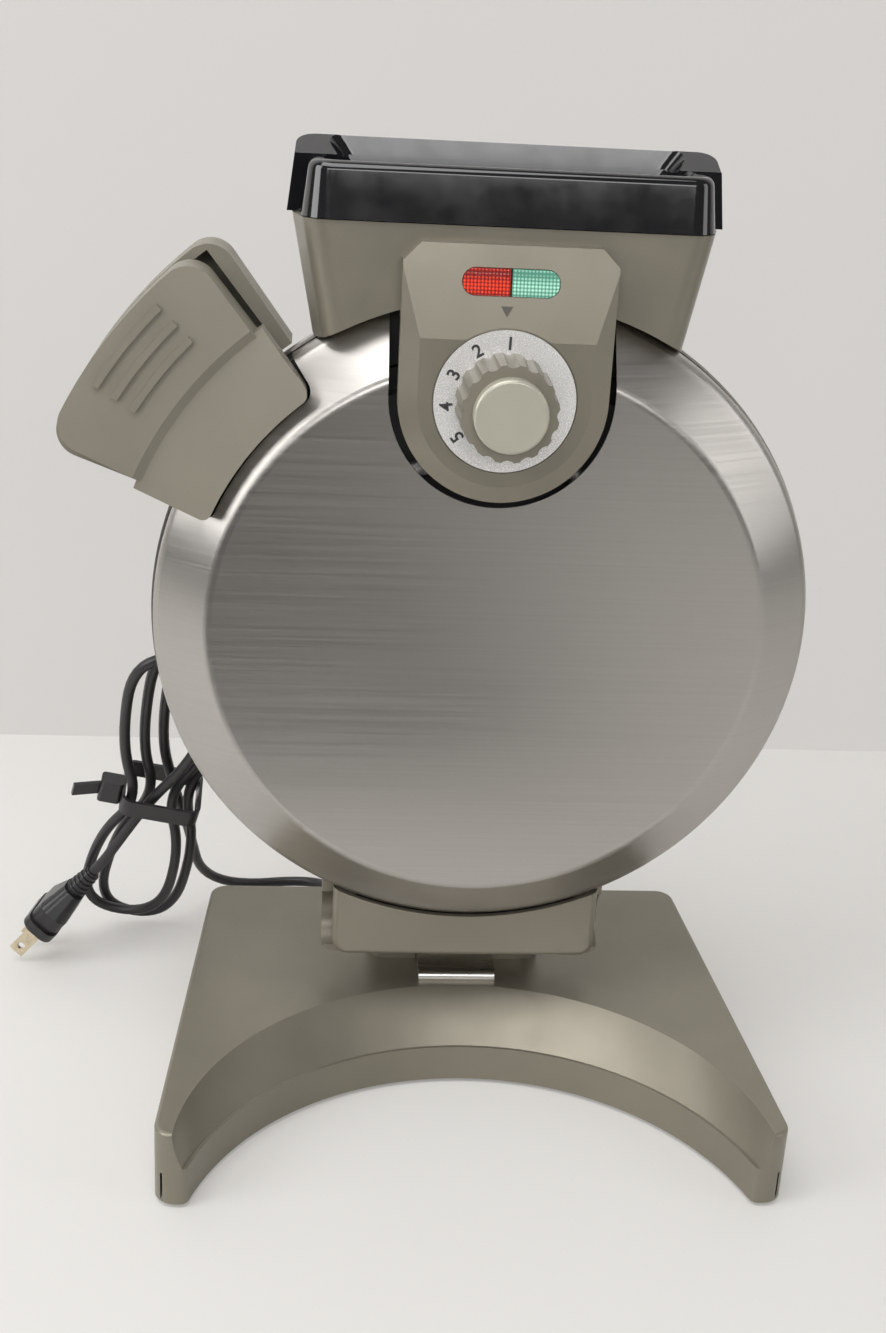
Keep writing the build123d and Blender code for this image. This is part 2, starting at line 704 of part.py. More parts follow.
with BuildPart() as locking_handle:
    with BuildSketch(ray_plane(HANDLE_A + PAD_HALF)):
        with BuildLine():
            Polyline(
                (-14.5, PAD_ROOT_R - 3),
                (-16.0, PAD_ROOT_R),
                (-13.6, PAD_R),
                (FRONT_Y - 0.6, PAD_R),
                (FRONT_Y - 0.6, PAD_ROOT_R - 12),
                (-8.0, PAD_ROOT_R - 12),
                close=True,
            )
        make_face()
    revolve(axis=HEAD_AXIS, revolution_arc=2 * PAD_HALF)
    fillet(corners(locking_handle.part, PAD_R - 3), radius=PAD_CORNER)
    with BuildSketch(ray_plane(HANDLE_A + TONGUE_HALF)):
        with BuildLine():
            Polyline(
                (-18.9, TONGUE_R),
                (-14.3, PAD_ROOT_R - 1.6),
                (-6.5, PAD_ROOT_R - 1.6),
                (-6.5, TONGUE_R + 4),
                (-10.0, TONGUE_R),
                close=True,
            )
        make_face()
    revolve(axis=HEAD_AXIS, revolution_arc=2 * TONGUE_HALF)
    tongue_ends = [e for e in locking_handle.edges().filter_by(Axis.Y) if axis_distance(e) < TONGUE_R + 0.1]
    fillet(tongue_ends, radius=TONGUE_CORNER)
    # grip ribs
    for rib_r in RIB_RADII:
        add(wedge(rib_r - 1.1, rib_r + 1.1, -17.0 + (rib_r - PAD_ROOT_R) * 0.08, -12, HANDLE_A - 6.9, HANDLE_A + 5.5))
    # the pad is hollow at its back
    add(wedge(PAD_ROOT_R - 8, PAD_R - 3, -11.0, 4, HANDLE_A - PAD_HALF + 2.2, HANDLE_A + PAD_HALF - 2.2),
        mode=Mode.SUBTRACT)
    # bore for the lever pin
    pin_a = radians(HANDLE_A)
    pin_way = Vector(sin(pin_a), 0, -cos(pin_a))
    pin_mid = Vector(*ray_point(LEVER_PIN_R, HANDLE_A, LEVER_PIN_Y))
    add(rod(LEVER_PIN_D / 2 + SHAFT_FIT, (pin_mid - pin_way * 40), (pin_mid + pin_way * 40)),
        mode=Mode.SUBTRACT)
    # room for the spring and for the ears that hold the pin
    add(wedge(TONGUE_R + 0.8, TONGUE_R + 10, -16.2, -5, HANDLE_A - 5.2, HANDLE_A + 5.2), mode=Mode.SUBTRACT)
save(locking_handle.part, "locking_handle")

with BuildPart() as lever_pin:
    add(rod(LEVER_PIN_D / 2, (pin_mid - pin_way * 24), (pin_mid + pin_way * 24)))
save(lever_pin.part, "lever_pin")

# The pin is held by a steel mount with one ear in the middle of the tongue
with BuildPart() as handle_mount:
    add(wedge(TONGUE_R + 1.9, TONGUE_R + 8.6, -15.2, FRONT_Y - FRAME_T, HANDLE_A - 1.6, HANDLE_A + 1.6))
    add(rod(LEVER_PIN_D / 2, (pin_mid - pin_way * 20), (pin_mid + pin_way * 20)),
        mode=Mode.SUBTRACT)
save(handle_mount.part, "handle_mount")

with BuildPart() as latch_hook:
    add(wedge(HOOK_R, HOOK_R + HOOK_T, -10.9, HOOK_END, HANDLE_A - 3.2, HANDLE_A + 3.2))
    add(wedge(HOOK_R - HOOK_NOSE, HOOK_R + 0.1, HOOK_END - 3.2, HOOK_END, HANDLE_A - 3.2, HANDLE_A + 3.2))
    add(wedge(HOOK_R + 0.1, HOOK_R + 7, -10.9, -9.4, HANDLE_A - 3.2, HANDLE_A + 3.2))
save(latch_hook.part, "latch_hook")

KEEPER_R = REAR_RIM_R + 1.2 + REAR_HANDLE_WALL + 0.05
with BuildPart() as rear_handle:
    add(wedge(REAR_RIM_R + 1.2, PAD_R, REAR_HANDLE_Y, REAR_HANDLE_BACK, HANDLE_A - REAR_HANDLE_HALF,
              HANDLE_A + REAR_HANDLE_HALF))
    fillet(corners(rear_handle.part, PAD_R - 3), radius=PAD_CORNER)
    back_edges = rear_handle.faces().sort_by(Axis.Y)[-1].edges()
    fillet(back_edges, radius=3)
    add(wedge(KEEPER_R - 0.05, PAD_R - 3, REAR_HANDLE_Y - 1, REAR_HANDLE_BACK - 3, HANDLE_A - REAR_HANDLE_HALF + 2,
              HANDLE_A + REAR_HANDLE_HALF - 2), mode=Mode.SUBTRACT)
    # root that is screwed to the rear frame
    add(wedge(RIM_R - 4.0, REAR_RIM_R + 1.3, BACK_Y + 0.2, BACK_Y + FRAME_T, HANDLE_A - 8.8, HANDLE_A + 8.8))
    # passage for the hook
    add(wedge(REAR_RIM_R + 1.0, 118.5, 0, 8, HANDLE_A - 4, HANDLE_A + 4), mode=Mode.SUBTRACT)
save(rear_handle.part, "rear_handle")

with BuildPart() as latch_keeper:
    add(wedge(KEEPER_R, KEEPER_R + 1.5, HOOK_END - 7, REAR_HANDLE_BACK - 3.1, HANDLE_A - 6, HANDLE_A + 6))
    add(wedge(KEEPER_R + 1.4, HOOK_R - HOOK_NOSE - KEEPER_GAP, HOOK_END - 7, HOOK_END - 4, HANDLE_A - 6, HANDLE_A + 6))
save(latch_keeper.part, "latch_keeper")

# Torsion spring of the lever: a short coil beside the ear, wound around the pin
SPRING_WIRE = 0.7
SPRING_R = 2.4
SPRING_TURNS = 4
with BuildPart() as lever_spring:
    spring_start = pin_mid + pin_way * 3.4
    spring_plane = Plane(origin=spring_start, x_dir=(0, 1, 0), z_dir=pin_way)
    coil = Helix(pitch=SPRING_WIRE * 1.5, height=SPRING_TURNS * SPRING_WIRE * 1.5, radius=SPRING_R)
    coil = coil.moved(spring_plane.location)
    with BuildSketch(Plane(origin=coil @ 0, z_dir=coil % 0)):
        Circle(SPRING_WIRE / 2)
    sweep(path=coil, is_frenet=True)
save(lever_spring.part, "lever_spring")


def cradle(half, y0, y1, z0, z1, corner):
    """A block whose two lower edges that run from front to back are rounded."""
    with BuildPart(mode=Mode.PRIVATE) as piece:
        add(block(-half, half, y0, y1, z0, z1))
        fillet(piece.faces().sort_by(Axis.Z)[0].edges().filter_by(Axis.Y), radius=corner)
    return piece.part


# Hinge. The lid's box is in front, the fixed box behind it, and one pin runs through both
HINGE_HALF = HINGE_BOX_W / 2
LID_KNUCKLE_END = HINGE_HALF - HINGE_WALL + 0.1
BOX_TOP = HEAD_Z - FRAME_R - 6
with BuildPart() as front_hinge_box:
    add(cradle(HINGE_HALF, HINGE_BOX_FRONT, FRONT_Y, HINGE_BOX_FOOT, BOX_TOP, HINGE_BOX_CORNER))
    fillet(front_hinge_box.faces().sort_by(Axis.Y)[0].edges(), radius=2.5)
    add(
        cradle(HINGE_HALF - HINGE_WALL, HINGE_BOX_FRONT + HINGE_WALL, FRONT_Y + 1, HINGE_BOX_FOOT + HINGE_WALL,
               BOX_TOP + 1, HINGE_BOX_CORNER - HINGE_WALL),
        mode=Mode.SUBTRACT,
    )
    # the top follows the rim of the steel cover
    with BuildSketch(front_plane(HINGE_BOX_FRONT - 1)):
        with Locations((0, HEAD_Z)):
            Circle(RIM_R + 0.45)
    extrude(amount=-(FRONT_Y - HINGE_BOX_FRONT + 2), mode=Mode.SUBTRACT)
    # slot in the floor that lets the fixed knuckle pass when the lid folds down
    add(block(-KNUCKLE_HALF - 1.2, KNUCKLE_HALF + 1.2, HINGE_Y - 5.8, FRONT_Y + 1, HINGE_BOX_FOOT - 1, HINGE_Z - 1),
        mode=Mode.SUBTRACT)
    for side in (-1, 1):
        near = side * (KNUCKLE_HALF + 0.5)
        far = side * LID_KNUCKLE_END
        add(rod(KNUCKLE_R, (near, HINGE_Y, HINGE_Z), (far, HINGE_Y, HINGE_Z)))
        # web from the knuckle to the front wall
        add(block(min(near, near + side * 3), max(near, near + side * 3), HINGE_BOX_FRONT + 1, HINGE_Y,
                  HINGE_Z - KNUCKLE_R + 0.2, HINGE_Z + KNUCKLE_R - 0.2))
        add(block(min(far, far - side * 3), max(far, far - side * 3), HINGE_BOX_FRONT + 1, HINGE_Y,
                  HINGE_Z - KNUCKLE_R + 0.2, HINGE_Z + KNUCKLE_R - 0.2))
    add(rod(HINGE_PIN_D / 2 + SHAFT_FIT, (-60, HINGE_Y, HINGE_Z), (60, HINGE_Y, HINGE_Z)), mode=Mode.SUBTRACT)
save(front_hinge_box.part, "front_hinge_box")

with BuildPart() as hinge_pin:
    add(rod(HINGE_PIN_D / 2, (-HINGE_HALF + 0.4, HINGE_Y, HINGE_Z), (HINGE_HALF - 0.4, HINGE_Y, HINGE_Z)))
save(hinge_pin.part, "hinge_pin")

SWING_R = hypot(HINGE_Y - HINGE_BOX_FRONT, HINGE_Z - HINGE_BOX_FOOT) + 1.0
REAR_BOX_HALF = REAR_BOX_W / 2
REAR_BOX_FOOT = HINGE_BOX_FOOT - REAR_BOX_DROP
with BuildPart() as rear_hinge_box:
    add(block(-REAR_BOX_HALF, REAR_BOX_HALF, BACK_Y + FRAME_T + 0.2, COLUMN_FRONT - CLEAR, REAR_BOX_FOOT, BOX_TOP + 4))
    fillet(rear_hinge_box.faces().sort_by(Axis.Z)[0].edges().filter_by(Axis.Y), radius=4)
    with BuildSketch(front_plane(0)):
        with Locations((0, HEAD_Z)):
            Circle(REAR_RIM_R + CLEAR)
    extrude(amount=-60, mode=Mode.SUBTRACT)
    # room for the front box when it swings down
    add(rod(SWING_R, (-60, HINGE_Y, HINGE_Z), (60, HINGE_Y, HINGE_Z)), mode=Mode.SUBTRACT)
    # arm and knuckle in the middle
    add(block(-KNUCKLE_HALF, KNUCKLE_HALF, HINGE_Y, COLUMN_FRONT - 4, HINGE_Z - KNUCKLE_R + 0.2, HINGE_Z + KNUCKLE_R - 0.2))
    add(rod(KNUCKLE_R, (-KNUCKLE_HALF, HINGE_Y, HINGE_Z), (KNUCKLE_HALF, HINGE_Y, HINGE_Z)))
    add(rod(HINGE_PIN_D / 2 + SHAFT_FIT, (-60, HINGE_Y, HINGE_Z), (60, HINGE_Y, HINGE_Z)), mode=Mode.SUBTRACT)
save(rear_hinge_box.part, "rear_hinge_box")


# Base
def base_outline(inset):
    """Outline of the base in plan: straight rear edge, flaring sides and a round arch in front."""
    rear = BASE_REAR - inset
    front = BASE_FRONT + inset * 0.6
    r = ARCH_R + inset
    flare = (BASE_FRONT_W - BASE_REAR_W) / (BASE_REAR - BASE_FRONT)
    tip_in = (r * r - (front - ARCH_Y) ** 2) ** 0.5
    tip_out = BASE_FRONT_W - inset
    with BuildLine() as line:
        Polyline(
            (-tip_in, front),
            (-tip_out, front),
            (-tip_out + flare * (rear - front), rear),
            (tip_out - flare * (rear - front), rear),
            (tip_out, front),
            (tip_in, front),
        )
        ThreePointArc((tip_in, front), (0, ARCH_Y + r), (-tip_in, front))
    return line.line


with BuildPart() as base_shell:
    with BuildSketch(Plane.XY.offset(FOOT_H)):
        with BuildLine():
            add(base_outline(0))
        make_face()
    extrude(amount=DECK_Z - FOOT_H)
    rear_corners = base_shell.edges().filter_by(Axis.Z).sort_by(Axis.Y)[-2:]
    fillet(rear_corners, radius=7)
    tips = base_shell.edges().filter_by(Axis.Z).sort_by(Axis.Y)[:4].sort_by(lambda e: abs(e.center().X))
    fillet(tips[-2:], radius=TIP_CORNER_OUT)
    tips_in = base_shell.edges().filter_by(Axis.Z).sort_by(Axis.Y)[:4].sort_by(lambda e: abs(e.center().X))[:2]
    fillet(tips_in, radius=TIP_CORNER_IN)
    fillet(base_shell.faces().sort_by(Axis.Z)[-1].edges(), radius=1.5)
    # the scoop slopes from the deck down to the lip of the arch
    with BuildSketch(Plane.XY.offset(ARCH_H)):
        with Locations((0, ARCH_Y)):
            Circle(ARCH_R + 1.2)
    with BuildSketch(Plane.XY.offset(DECK_Z + 0.01)):
        with Locations((0, SCOOP_Y)):
            Circle(SCOOP_R)
    loft(mode=Mode.SUBTRACT)
    # hollow underneath
    with BuildSketch(Plane.XY.offset(FOOT_H)):
        with BuildLine():
            add(base_outline(SHELL_T))
        make_face()
    extrude(amount=ARCH_H - SHELL_T - FOOT_H, mode=Mode.SUBTRACT)
    with BuildSketch(Plane.XY.offset(FOOT_H)):
        with BuildLine():
            add(base_outline(SHELL_T))
        make_face()
        with Locations((0, SCOOP_Y)):
            Circle(SCOOP_R + 4, mode=Mode.SUBTRACT)
        # the tips stay solid above the arch
        with Locations((0, BASE_FRONT)):
            Rectangle(3 * ARCH_R, 50, mode=Mode.SUBTRACT)
    extrude(amount=DECK_Z - SHELL_T - FOOT_H, mode=Mode.SUBTRACT)
    # opening under the column for the lead
    add(block(-14, 14, COLUMN_FRONT + 8, COLUMN_BACK - 6, DECK_Z - SHELL_T - 1, DECK_Z + 1), mode=Mode.SUBTRACT)
    add(rod(6.1, (GLAND_X, BASE_REAR - 8, GLAND_Z), (GLAND_X, BASE_REAR + 8, GLAND_Z)), mode=Mode.SUBTRACT)
save(base_shell.part, "base_shell")

SCREW_SPOTS = ((-46, 70), (46, 70), (-60, 10), (60, 10))
with BuildPart() as base_plate:
    with BuildSketch(Plane.XY.offset(FOOT_H)):
        with BuildLine():
            add(base_outline(SHELL_T + CLEAR))
        make_face()
        with Locations(*SCREW_SPOTS):
            Circle(SCREW_D / 2 + 0.3, mode=Mode.SUBTRACT)
    extrude(amount=1.8)
save(base_plate.part, "base_plate")

with BuildPart() as base_screws:
    with BuildSketch(Plane.XY.offset(FOOT_H + 1.8)):
        with Locations(*SCREW_SPOTS):
            Circle(SCREW_D / 2)
    extrude(amount=DECK_Z - SHELL_T - FOOT_H - 1.8 - 0.2)
    with BuildSketch(Plane.XY.offset(FOOT_H - 1.2)):
        with Locations(*SCREW_SPOTS):
            Circle(SCREW_D / 2)
    extrude(amount=3.1)
    with BuildSketch(Plane.XY.offset(FOOT_H - 1.2)):
        with Locations(*SCREW_SPOTS):
            Circle(3.2)
    extrude(amount=1.15)
save(base_screws.part, "base_screws")

FOOT_SPOTS = ((-84, 70), (84, 70), (-99.4, -73), (99.4, -73))
with BuildPart() as rubber_feet:
    with BuildSketch():
        with Locations(FOOT_SPOTS[0], FOOT_SPOTS[1]):
            Circle(FOOT_D / 2)
        with Locations(FOOT_SPOTS[2], FOOT_SPOTS[3]):
            Circle(3.4)
        # a long pad under the middle, behind the arch
        SlotOverall(40, 12)
    extrude(amount=FOOT_H)
save(rubber_feet.part, "rubber_feet")

# Column behind the head: a painted shell, with the metal strap inside that carries the head
with BuildPart() as support_column:
    with BuildSketch(Plane.XY.offset(DECK_Z)):
        with Locations((0, (COLUMN_FRONT + COLUMN_BACK) / 2)):
            RectangleRounded(COLUMN_W, COLUMN_BACK - COLUMN_FRONT, 8)
    with BuildSketch(Plane.XY.offset(COLUMN_TOP)):
        with Locations((0, (COLUMN_FRONT + COLUMN_BACK) / 2 - 3)):
            RectangleRounded(COLUMN_W - 12, COLUMN_BACK - COLUMN_FRONT - 6, 7)
    loft()
    fillet(support_column.faces().sort_by(Axis.Z)[-1].edges(), radius=3)
    with BuildSketch(Plane.XY.offset(DECK_Z)):
        with Locations((0, (COLUMN_FRONT + COLUMN_BACK) / 2)):
            RectangleRounded(COLUMN_W - 2 * SHELL_T, COLUMN_BACK - COLUMN_FRONT - 2 * SHELL_T, 6)
    with BuildSketch(Plane.XY.offset(COLUMN_TOP - SHELL_T)):
        with Locations((0, (COLUMN_FRONT + COLUMN_BACK) / 2 - 3)):
            RectangleRounded(COLUMN_W - 12 - 2 * SHELL_T, COLUMN_BACK - COLUMN_FRONT - 6 - 2 * SHELL_T, 5)
    loft(mode=Mode.SUBTRACT)
    # slot for the strap's foot
    add(block(-STRAP_W / 2 - 0.3, STRAP_W / 2 + 0.3, COLUMN_FRONT - 2, COLUMN_FRONT + 6, DECK_Z - 1,
              DECK_Z + STRAP_T + 0.3), mode=Mode.SUBTRACT)
    for screw_z in STRAP_SCREW_Z:
        add(rod(SCREW_D / 2 + 0.1, (0, COLUMN_FRONT - 2, screw_z), (0, COLUMN_FRONT + 5, screw_z)), mode=Mode.SUBTRACT)
save(support_column.part, "support_column")

RISER_Y = COLUMN_FRONT + SHELL_T + 1.0
with BuildPart() as support_strap:
    add(block(-STRAP_W / 2, STRAP_W / 2, STRAP_FRONT, RISER_Y + STRAP_T, DECK_Z, DECK_Z + STRAP_T))
    fillet(support_strap.edges().filter_by(Axis.X).sort_by(Axis.Y)[:2].sort_by(Axis.Z)[-1], radius=3.0)
    add(block(-STRAP_W / 2, STRAP_W / 2, RISER_Y, RISER_Y + STRAP_T, DECK_Z, COLUMN_TOP - 16))
    with BuildSketch(front_plane(RISER_Y - 1)):
        with Locations(*((0, z) for z in STRAP_SCREW_Z)):
            Circle(SCREW_D / 2 + 0.1)
    extrude(amount=-STRAP_T - 2, mode=Mode.SUBTRACT)
save(support_strap.part, "support_strap")

# Screws that hold the rear cover to the strap through the column's front wall
with BuildPart() as strap_screws:
    for screw_z in STRAP_SCREW_Z:
        add(rod(SCREW_D / 2, (0, REAR_FACE_Y - 4, screw_z), (0, RISER_Y + STRAP_T + 0.1, screw_z)))
        add(rod(3.0, (0, RISER_Y + STRAP_T + 0.1, screw_z), (0, RISER_Y + STRAP_T + 2.2, screw_z)))
save(strap_screws.part, "strap_screws")

with BuildPart() as terminal_block:
    add(block(-16, 16, REAR_REFLECTOR_Y + REFLECTOR_T + 0.15, REAR_FACE_Y - STEEL - 0.2, HEAD_Z - 61, HEAD_Z - 49))
    fillet(terminal_block.edges().filter_by(Axis.Y), radius=1.5)
save(terminal_block.part, "terminal_block")

with BuildPart() as thermal_fuse:
    add(rod(2.2, (-8, REAR_REFLECTOR_Y + REFLECTOR_T + 2.4, 205), (8, REAR_REFLECTOR_Y + REFLECTOR_T + 2.4, 205)))
save(thermal_fuse.part, "thermal_fuse")

# Lead: gland in the rear wall of the base, free lead, folded hank, tie, second free lead and plug
with BuildPart() as cord_gland:
    with BuildSketch(front_plane(BASE_REAR - SHELL_T - 3)):
        with Locations((GLAND_X, GLAND_Z)):
            Circle(6.0)
    with BuildSketch(front_plane(BASE_REAR + GLAND_L)):
        with Locations((GLAND_X, GLAND_Z)):
            Circle(CORD_D / 2 + 0.7)
    loft()
save(cord_gland.part, "cord_gland")


def cord_tube(points, name, limp=False):
    """A round tube along straight runs joined by tangent arcs, as large as the runs allow."""
    places = [Vector(*p) for p in points]
    radii = []
    for before, here, after in zip(places, places[1:], places[2:]):
        turn = radians((here - before).get_angle(after - here))
        radii.append(0.45 * min((here - before).length, (after - here).length) / tan(turn / 2))
    with BuildPart() as tube:
        with BuildLine() as route:
            FilletPolyline(*points, radius=radii)
        way = places[1] - places[0]
        with BuildSketch(Plane(origin=points[0], z_dir=way)):
            Circle(CORD_D / 2)
        sweep(path=route.wires()[0])
    length = route.wires()[0].length
    print(name, "length", round(length, 1), "least radius", round(min(radii), 1),
          "volume over section", round(tube.part.volume / (pi * CORD_D**2 / 4), 1))
    save(tube.part, name)
    return tube


# Hank: folded loops, wound from this frame, drawn in at the tie
low = Vector(*HANK_LOW)
high = Vector(*HANK_HIGH)
along = (high - low).normalized()
depth = along.cross(Vector(1, 0, 0)).normalized()
across = depth.cross(along).normalized()
HANK_LENGTH = (high - low).length


def hank_point(u, v, w):
    """A point u along the hank, v across it and w through its loops."""
    return low + along * u + across * v + depth * w


def hank_points():
    """Corners of the folded cord, loop by loop, one step forwards and to the left along each run."""
    waist = HANK_LENGTH * TIE_AT
    spread = 28.0
    last = HANK_LOOPS - 1
    points = [(waist - 26, HANK_FOLD + 2, (last / 2 + 1.3) * HANK_PITCH)]
    for k in range(HANK_LOOPS):
        w = (last / 2 - k) * HANK_PITCH
        middle = (last / 2 - k) * HANK_FAN
        next_middle = middle - HANK_FAN
        half = HANK_FOLD + 0.7 * k
        top = HANK_LENGTH - 7.0 * ((k + 1) % 2)
        bottom = 2.5 + 6.0 * (k % 2)
        points.extend(
            (
                (waist, middle - HANK_WAIST, w),
                (waist + spread, middle - half, w),
                (top, middle - half, w),
                (top, middle + half, w),
                (waist + spread, middle + half, w),
                (waist, middle + HANK_WAIST, w),
            )
        )
        if k < last:
            points.extend(
                (
                    (waist - spread, middle + half, w - HANK_PITCH / 2),
                    (bottom, middle + half, w - HANK_PITCH / 2),
                    (bottom, next_middle - half, w - HANK_PITCH / 2),
                    (waist - spread, next_middle - half, w - HANK_PITCH / 2),
                )
            )
        else:
            points.append((waist - 26, middle - 7.5, w - 6))
    return [hank_point(*p) for p in points]


def least_self_gap(line, diameter):
    """Least open gap of a tube to itself, measured on points two folds apart."""
    count = int(line.length / 2.0)
    spots = [line.position_at(i / count) for i in range(count + 1)]
    apart = int(2.2 * HANK_FOLD / 2.0)
    least = min(
        (spots[i] - spots[j]).length for i in range(count + 1) for j in range(i + apart, count + 1)
    )
    return least - diameter


hank_corners = hank_points()
hank_radii = []
for before, here, after in zip(hank_corners, hank_corners[1:], hank_corners[2:]):
    turn = radians((here - before).get_angle(after - here))
    share = 0.49 if turn > 1.2 else 0.45
    hank_radii.append(share * min((here - before).length, (after - here).length) / tan(turn / 2))
with BuildPart() as cord_hank:
    with BuildLine() as hank_route:
        FilletPolyline(*hank_corners, radius=hank_radii)
    with BuildSketch(Plane(origin=hank_corners[0], z_dir=hank_corners[1] - hank_corners[0])):
        Circle(CORD_D / 2)
    sweep(path=hank_route.wires()[0])
hank_wire = hank_route.wires()[0]
print("cord_hank length", round(hank_wire.length, 1), "least radius", round(min(hank_radii), 1),
      "volume over section", round(cord_hank.part.volume / (pi * CORD_D**2 / 4), 1),
      "least self gap", round(least_self_gap(hank_wire, CORD_D), 2))
save(cord_hank.part, "cord_hank")

# Tie: a flat band around the waist with a buckle on its left
TIE_W = 8.0
TIE_T = 1.2
tie_plane = Plane(origin=hank_point(HANK_LENGTH * TIE_AT - TIE_W / 2, 0, 0), x_dir=across, z_dir=along)
TIE_IN_W = 2 * ((HANK_LOOPS - 1) / 2 * HANK_FAN + HANK_WAIST + CORD_D / 2 + 3.8)
TIE_IN_D = 2 * (HANK_LOOPS / 2 * HANK_PITCH + CORD_D / 2 + 0.6)
with BuildPart() as cord_tie:
    with BuildSketch(tie_plane):
        RectangleRounded(TIE_IN_W + 2 * TIE_T, TIE_IN_D + 2 * TIE_T, 4)
        RectangleRounded(TIE_IN_W, TIE_IN_D, 3, mode=Mode.SUBTRACT)
    extrude(amount=TIE_W)
    with BuildSketch(tie_plane.offset(-1.5)):
        with Locations((-TIE_IN_W / 2 - 5.5, -2)):
            RectangleRounded(9, 6, 1.5)
    extrude(amount=TIE_W + 3)
    with BuildSketch(tie_plane.offset(1)):
        with Locations((-TIE_IN_W / 2 - 14, -4)):
            Rectangle(13, 1.4, rotation=20)
    extrude(amount=TIE_W - 2)
save(cord_tie.part, "cord_tie")

# The lead from the gland to the hank
hank_way = (hank_corners[1] - hank_corners[0]).normalized()
lead_points = [
    (GLAND_X, BASE_REAR + GLAND_L, GLAND_Z),
    (GLAND_X, BASE_REAR + GLAND_L + 17.3, GLAND_Z - 3),
    (GLAND_X - 12.5, BASE_REAR + GLAND_L + 28.8, 4.0),
    (GLAND_X - 31, BASE_REAR + GLAND_L + 26.3, 3.0),
    tuple(hank_corners[0] - hank_way * 57),
    tuple(hank_corners[0]),
]
cord_tube(lead_points, "mains_lead")

# The short end from the hank to the plug
PLUG_WAY = Vector(-0.63, 0.13, -0.76).normalized()
RELIEF_L = 12.0
PLUG_L = 21.0
PLUG_W = 25.0
PLUG_T = 14.0
BLADE_L = 15.9
BLADE_W = 6.35
BLADE_T = 1.5
BLADE_GAP = 12.7
plug_end = hank_corners[-1]
plug_out = (hank_corners[-1] - hank_corners[-2]).normalized()
lead_bend = plug_end + plug_out * 6
relief_start = lead_bend + PLUG_WAY * 7
cord_tube([tuple(plug_end), tuple(lead_bend), tuple(relief_start)], "plug_lead")

plug_side = PLUG_WAY.cross(Vector(0, 0, 1)).normalized()


def plug_plane(distance):
    """A section plane of the plug, so far along it from the start of its strain relief."""
    return Plane(origin=relief_start + PLUG_WAY * distance, x_dir=plug_side, z_dir=PLUG_WAY)


with BuildPart() as plug_body:
    with BuildSketch(plug_plane(0)):
        Circle(CORD_D / 2 + 0.6)
    with BuildSketch(plug_plane(RELIEF_L)):
        Circle(4.0)
    loft()
    with BuildSketch(plug_plane(RELIEF_L)):
        RectangleRounded(11, 9, 3.5)
    with BuildSketch(plug_plane(RELIEF_L + PLUG_L / 2)):
        RectangleRounded(PLUG_W - 3, PLUG_T - 1, 4.5)
    loft()
    with BuildSketch(plug_plane(RELIEF_L + PLUG_L / 2)):
        RectangleRounded(PLUG_W - 3, PLUG_T - 1, 4.5)
    extrude(amount=PLUG_L / 2)
    # flange at the face of the plug
    with BuildSketch(plug_plane(RELIEF_L + PLUG_L - 4)):
        RectangleRounded(PLUG_W, PLUG_T, 5)
    extrude(amount=4)
save(plug_body.part, "plug_body")

with BuildPart() as plug_blades:
    with BuildSketch(plug_plane(RELIEF_L + PLUG_L)):
        with Locations((-BLADE_GAP / 2, 0), (BLADE_GAP / 2, 0)):
            Rectangle(BLADE_T, BLADE_W)
    extrude(amount=BLADE_L)
    for blade_side in (-1, 1):
        hole = plug_plane(RELIEF_L + PLUG_L + BLADE_L - 4)
        middle = hole.origin + hole.x_dir * (blade_side * BLADE_GAP / 2)
        add(rod(1.6, tuple(middle - hole.x_dir * 2), tuple(middle + hole.x_dir * 2)), mode=Mode.SUBTRACT)
save(plug_blades.part, "plug_blades")
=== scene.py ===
"""Looks of the vertical waffle maker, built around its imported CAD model. Metres, +Z up, front at -Y."""

import math

import bpy
from mathutils import Matrix, Vector


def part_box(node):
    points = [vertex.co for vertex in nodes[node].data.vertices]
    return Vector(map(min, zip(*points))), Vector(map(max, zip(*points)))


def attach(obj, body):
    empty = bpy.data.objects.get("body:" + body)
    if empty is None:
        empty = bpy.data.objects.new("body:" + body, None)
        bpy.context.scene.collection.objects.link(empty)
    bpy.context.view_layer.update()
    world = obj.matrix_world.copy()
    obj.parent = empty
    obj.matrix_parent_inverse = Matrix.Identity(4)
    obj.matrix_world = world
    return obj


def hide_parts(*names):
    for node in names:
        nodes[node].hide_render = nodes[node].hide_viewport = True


MM = 0.001

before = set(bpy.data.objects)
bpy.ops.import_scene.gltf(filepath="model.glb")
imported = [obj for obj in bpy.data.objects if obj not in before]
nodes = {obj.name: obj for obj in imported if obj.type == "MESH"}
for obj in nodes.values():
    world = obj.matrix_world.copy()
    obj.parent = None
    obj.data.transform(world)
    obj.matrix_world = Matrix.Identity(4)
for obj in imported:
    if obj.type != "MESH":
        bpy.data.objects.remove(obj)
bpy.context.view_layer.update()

# Camera, from a fit of the photograph's outline to the head, dial and base
PHOTO_SIZE = (886, 1333)
FOCAL_PIXELS = 1700.0
CAMERA_PLACE = (-0.06098, -0.54797, 0.3762)
CAMERA_YAW = math.radians(-5.04)
CAMERA_PITCH = math.radians(21.27)
CAMERA_ROLL = math.radians(3.16)
SENSOR = 36.0


def deselect():
    """Leave nothing selected, in object mode."""
    if bpy.context.object is not None and bpy.context.object.mode != "OBJECT":
        bpy.ops.object.mode_set(mode="OBJECT")
    bpy.ops.object.select_all(action="DESELECT")


def take_up(name):
    """Name the piece that an operator has just added."""
    piece = bpy.context.object
    piece.name = name
    piece.data.name = name
    return piece


def settle(piece):
    """Move the piece's place and size into its mesh."""
    deselect()
    piece.select_set(True)
    bpy.context.view_layer.objects.active = piece
    bpy.ops.object.transform_apply(location=True, rotation=True, scale=True)
    return piece


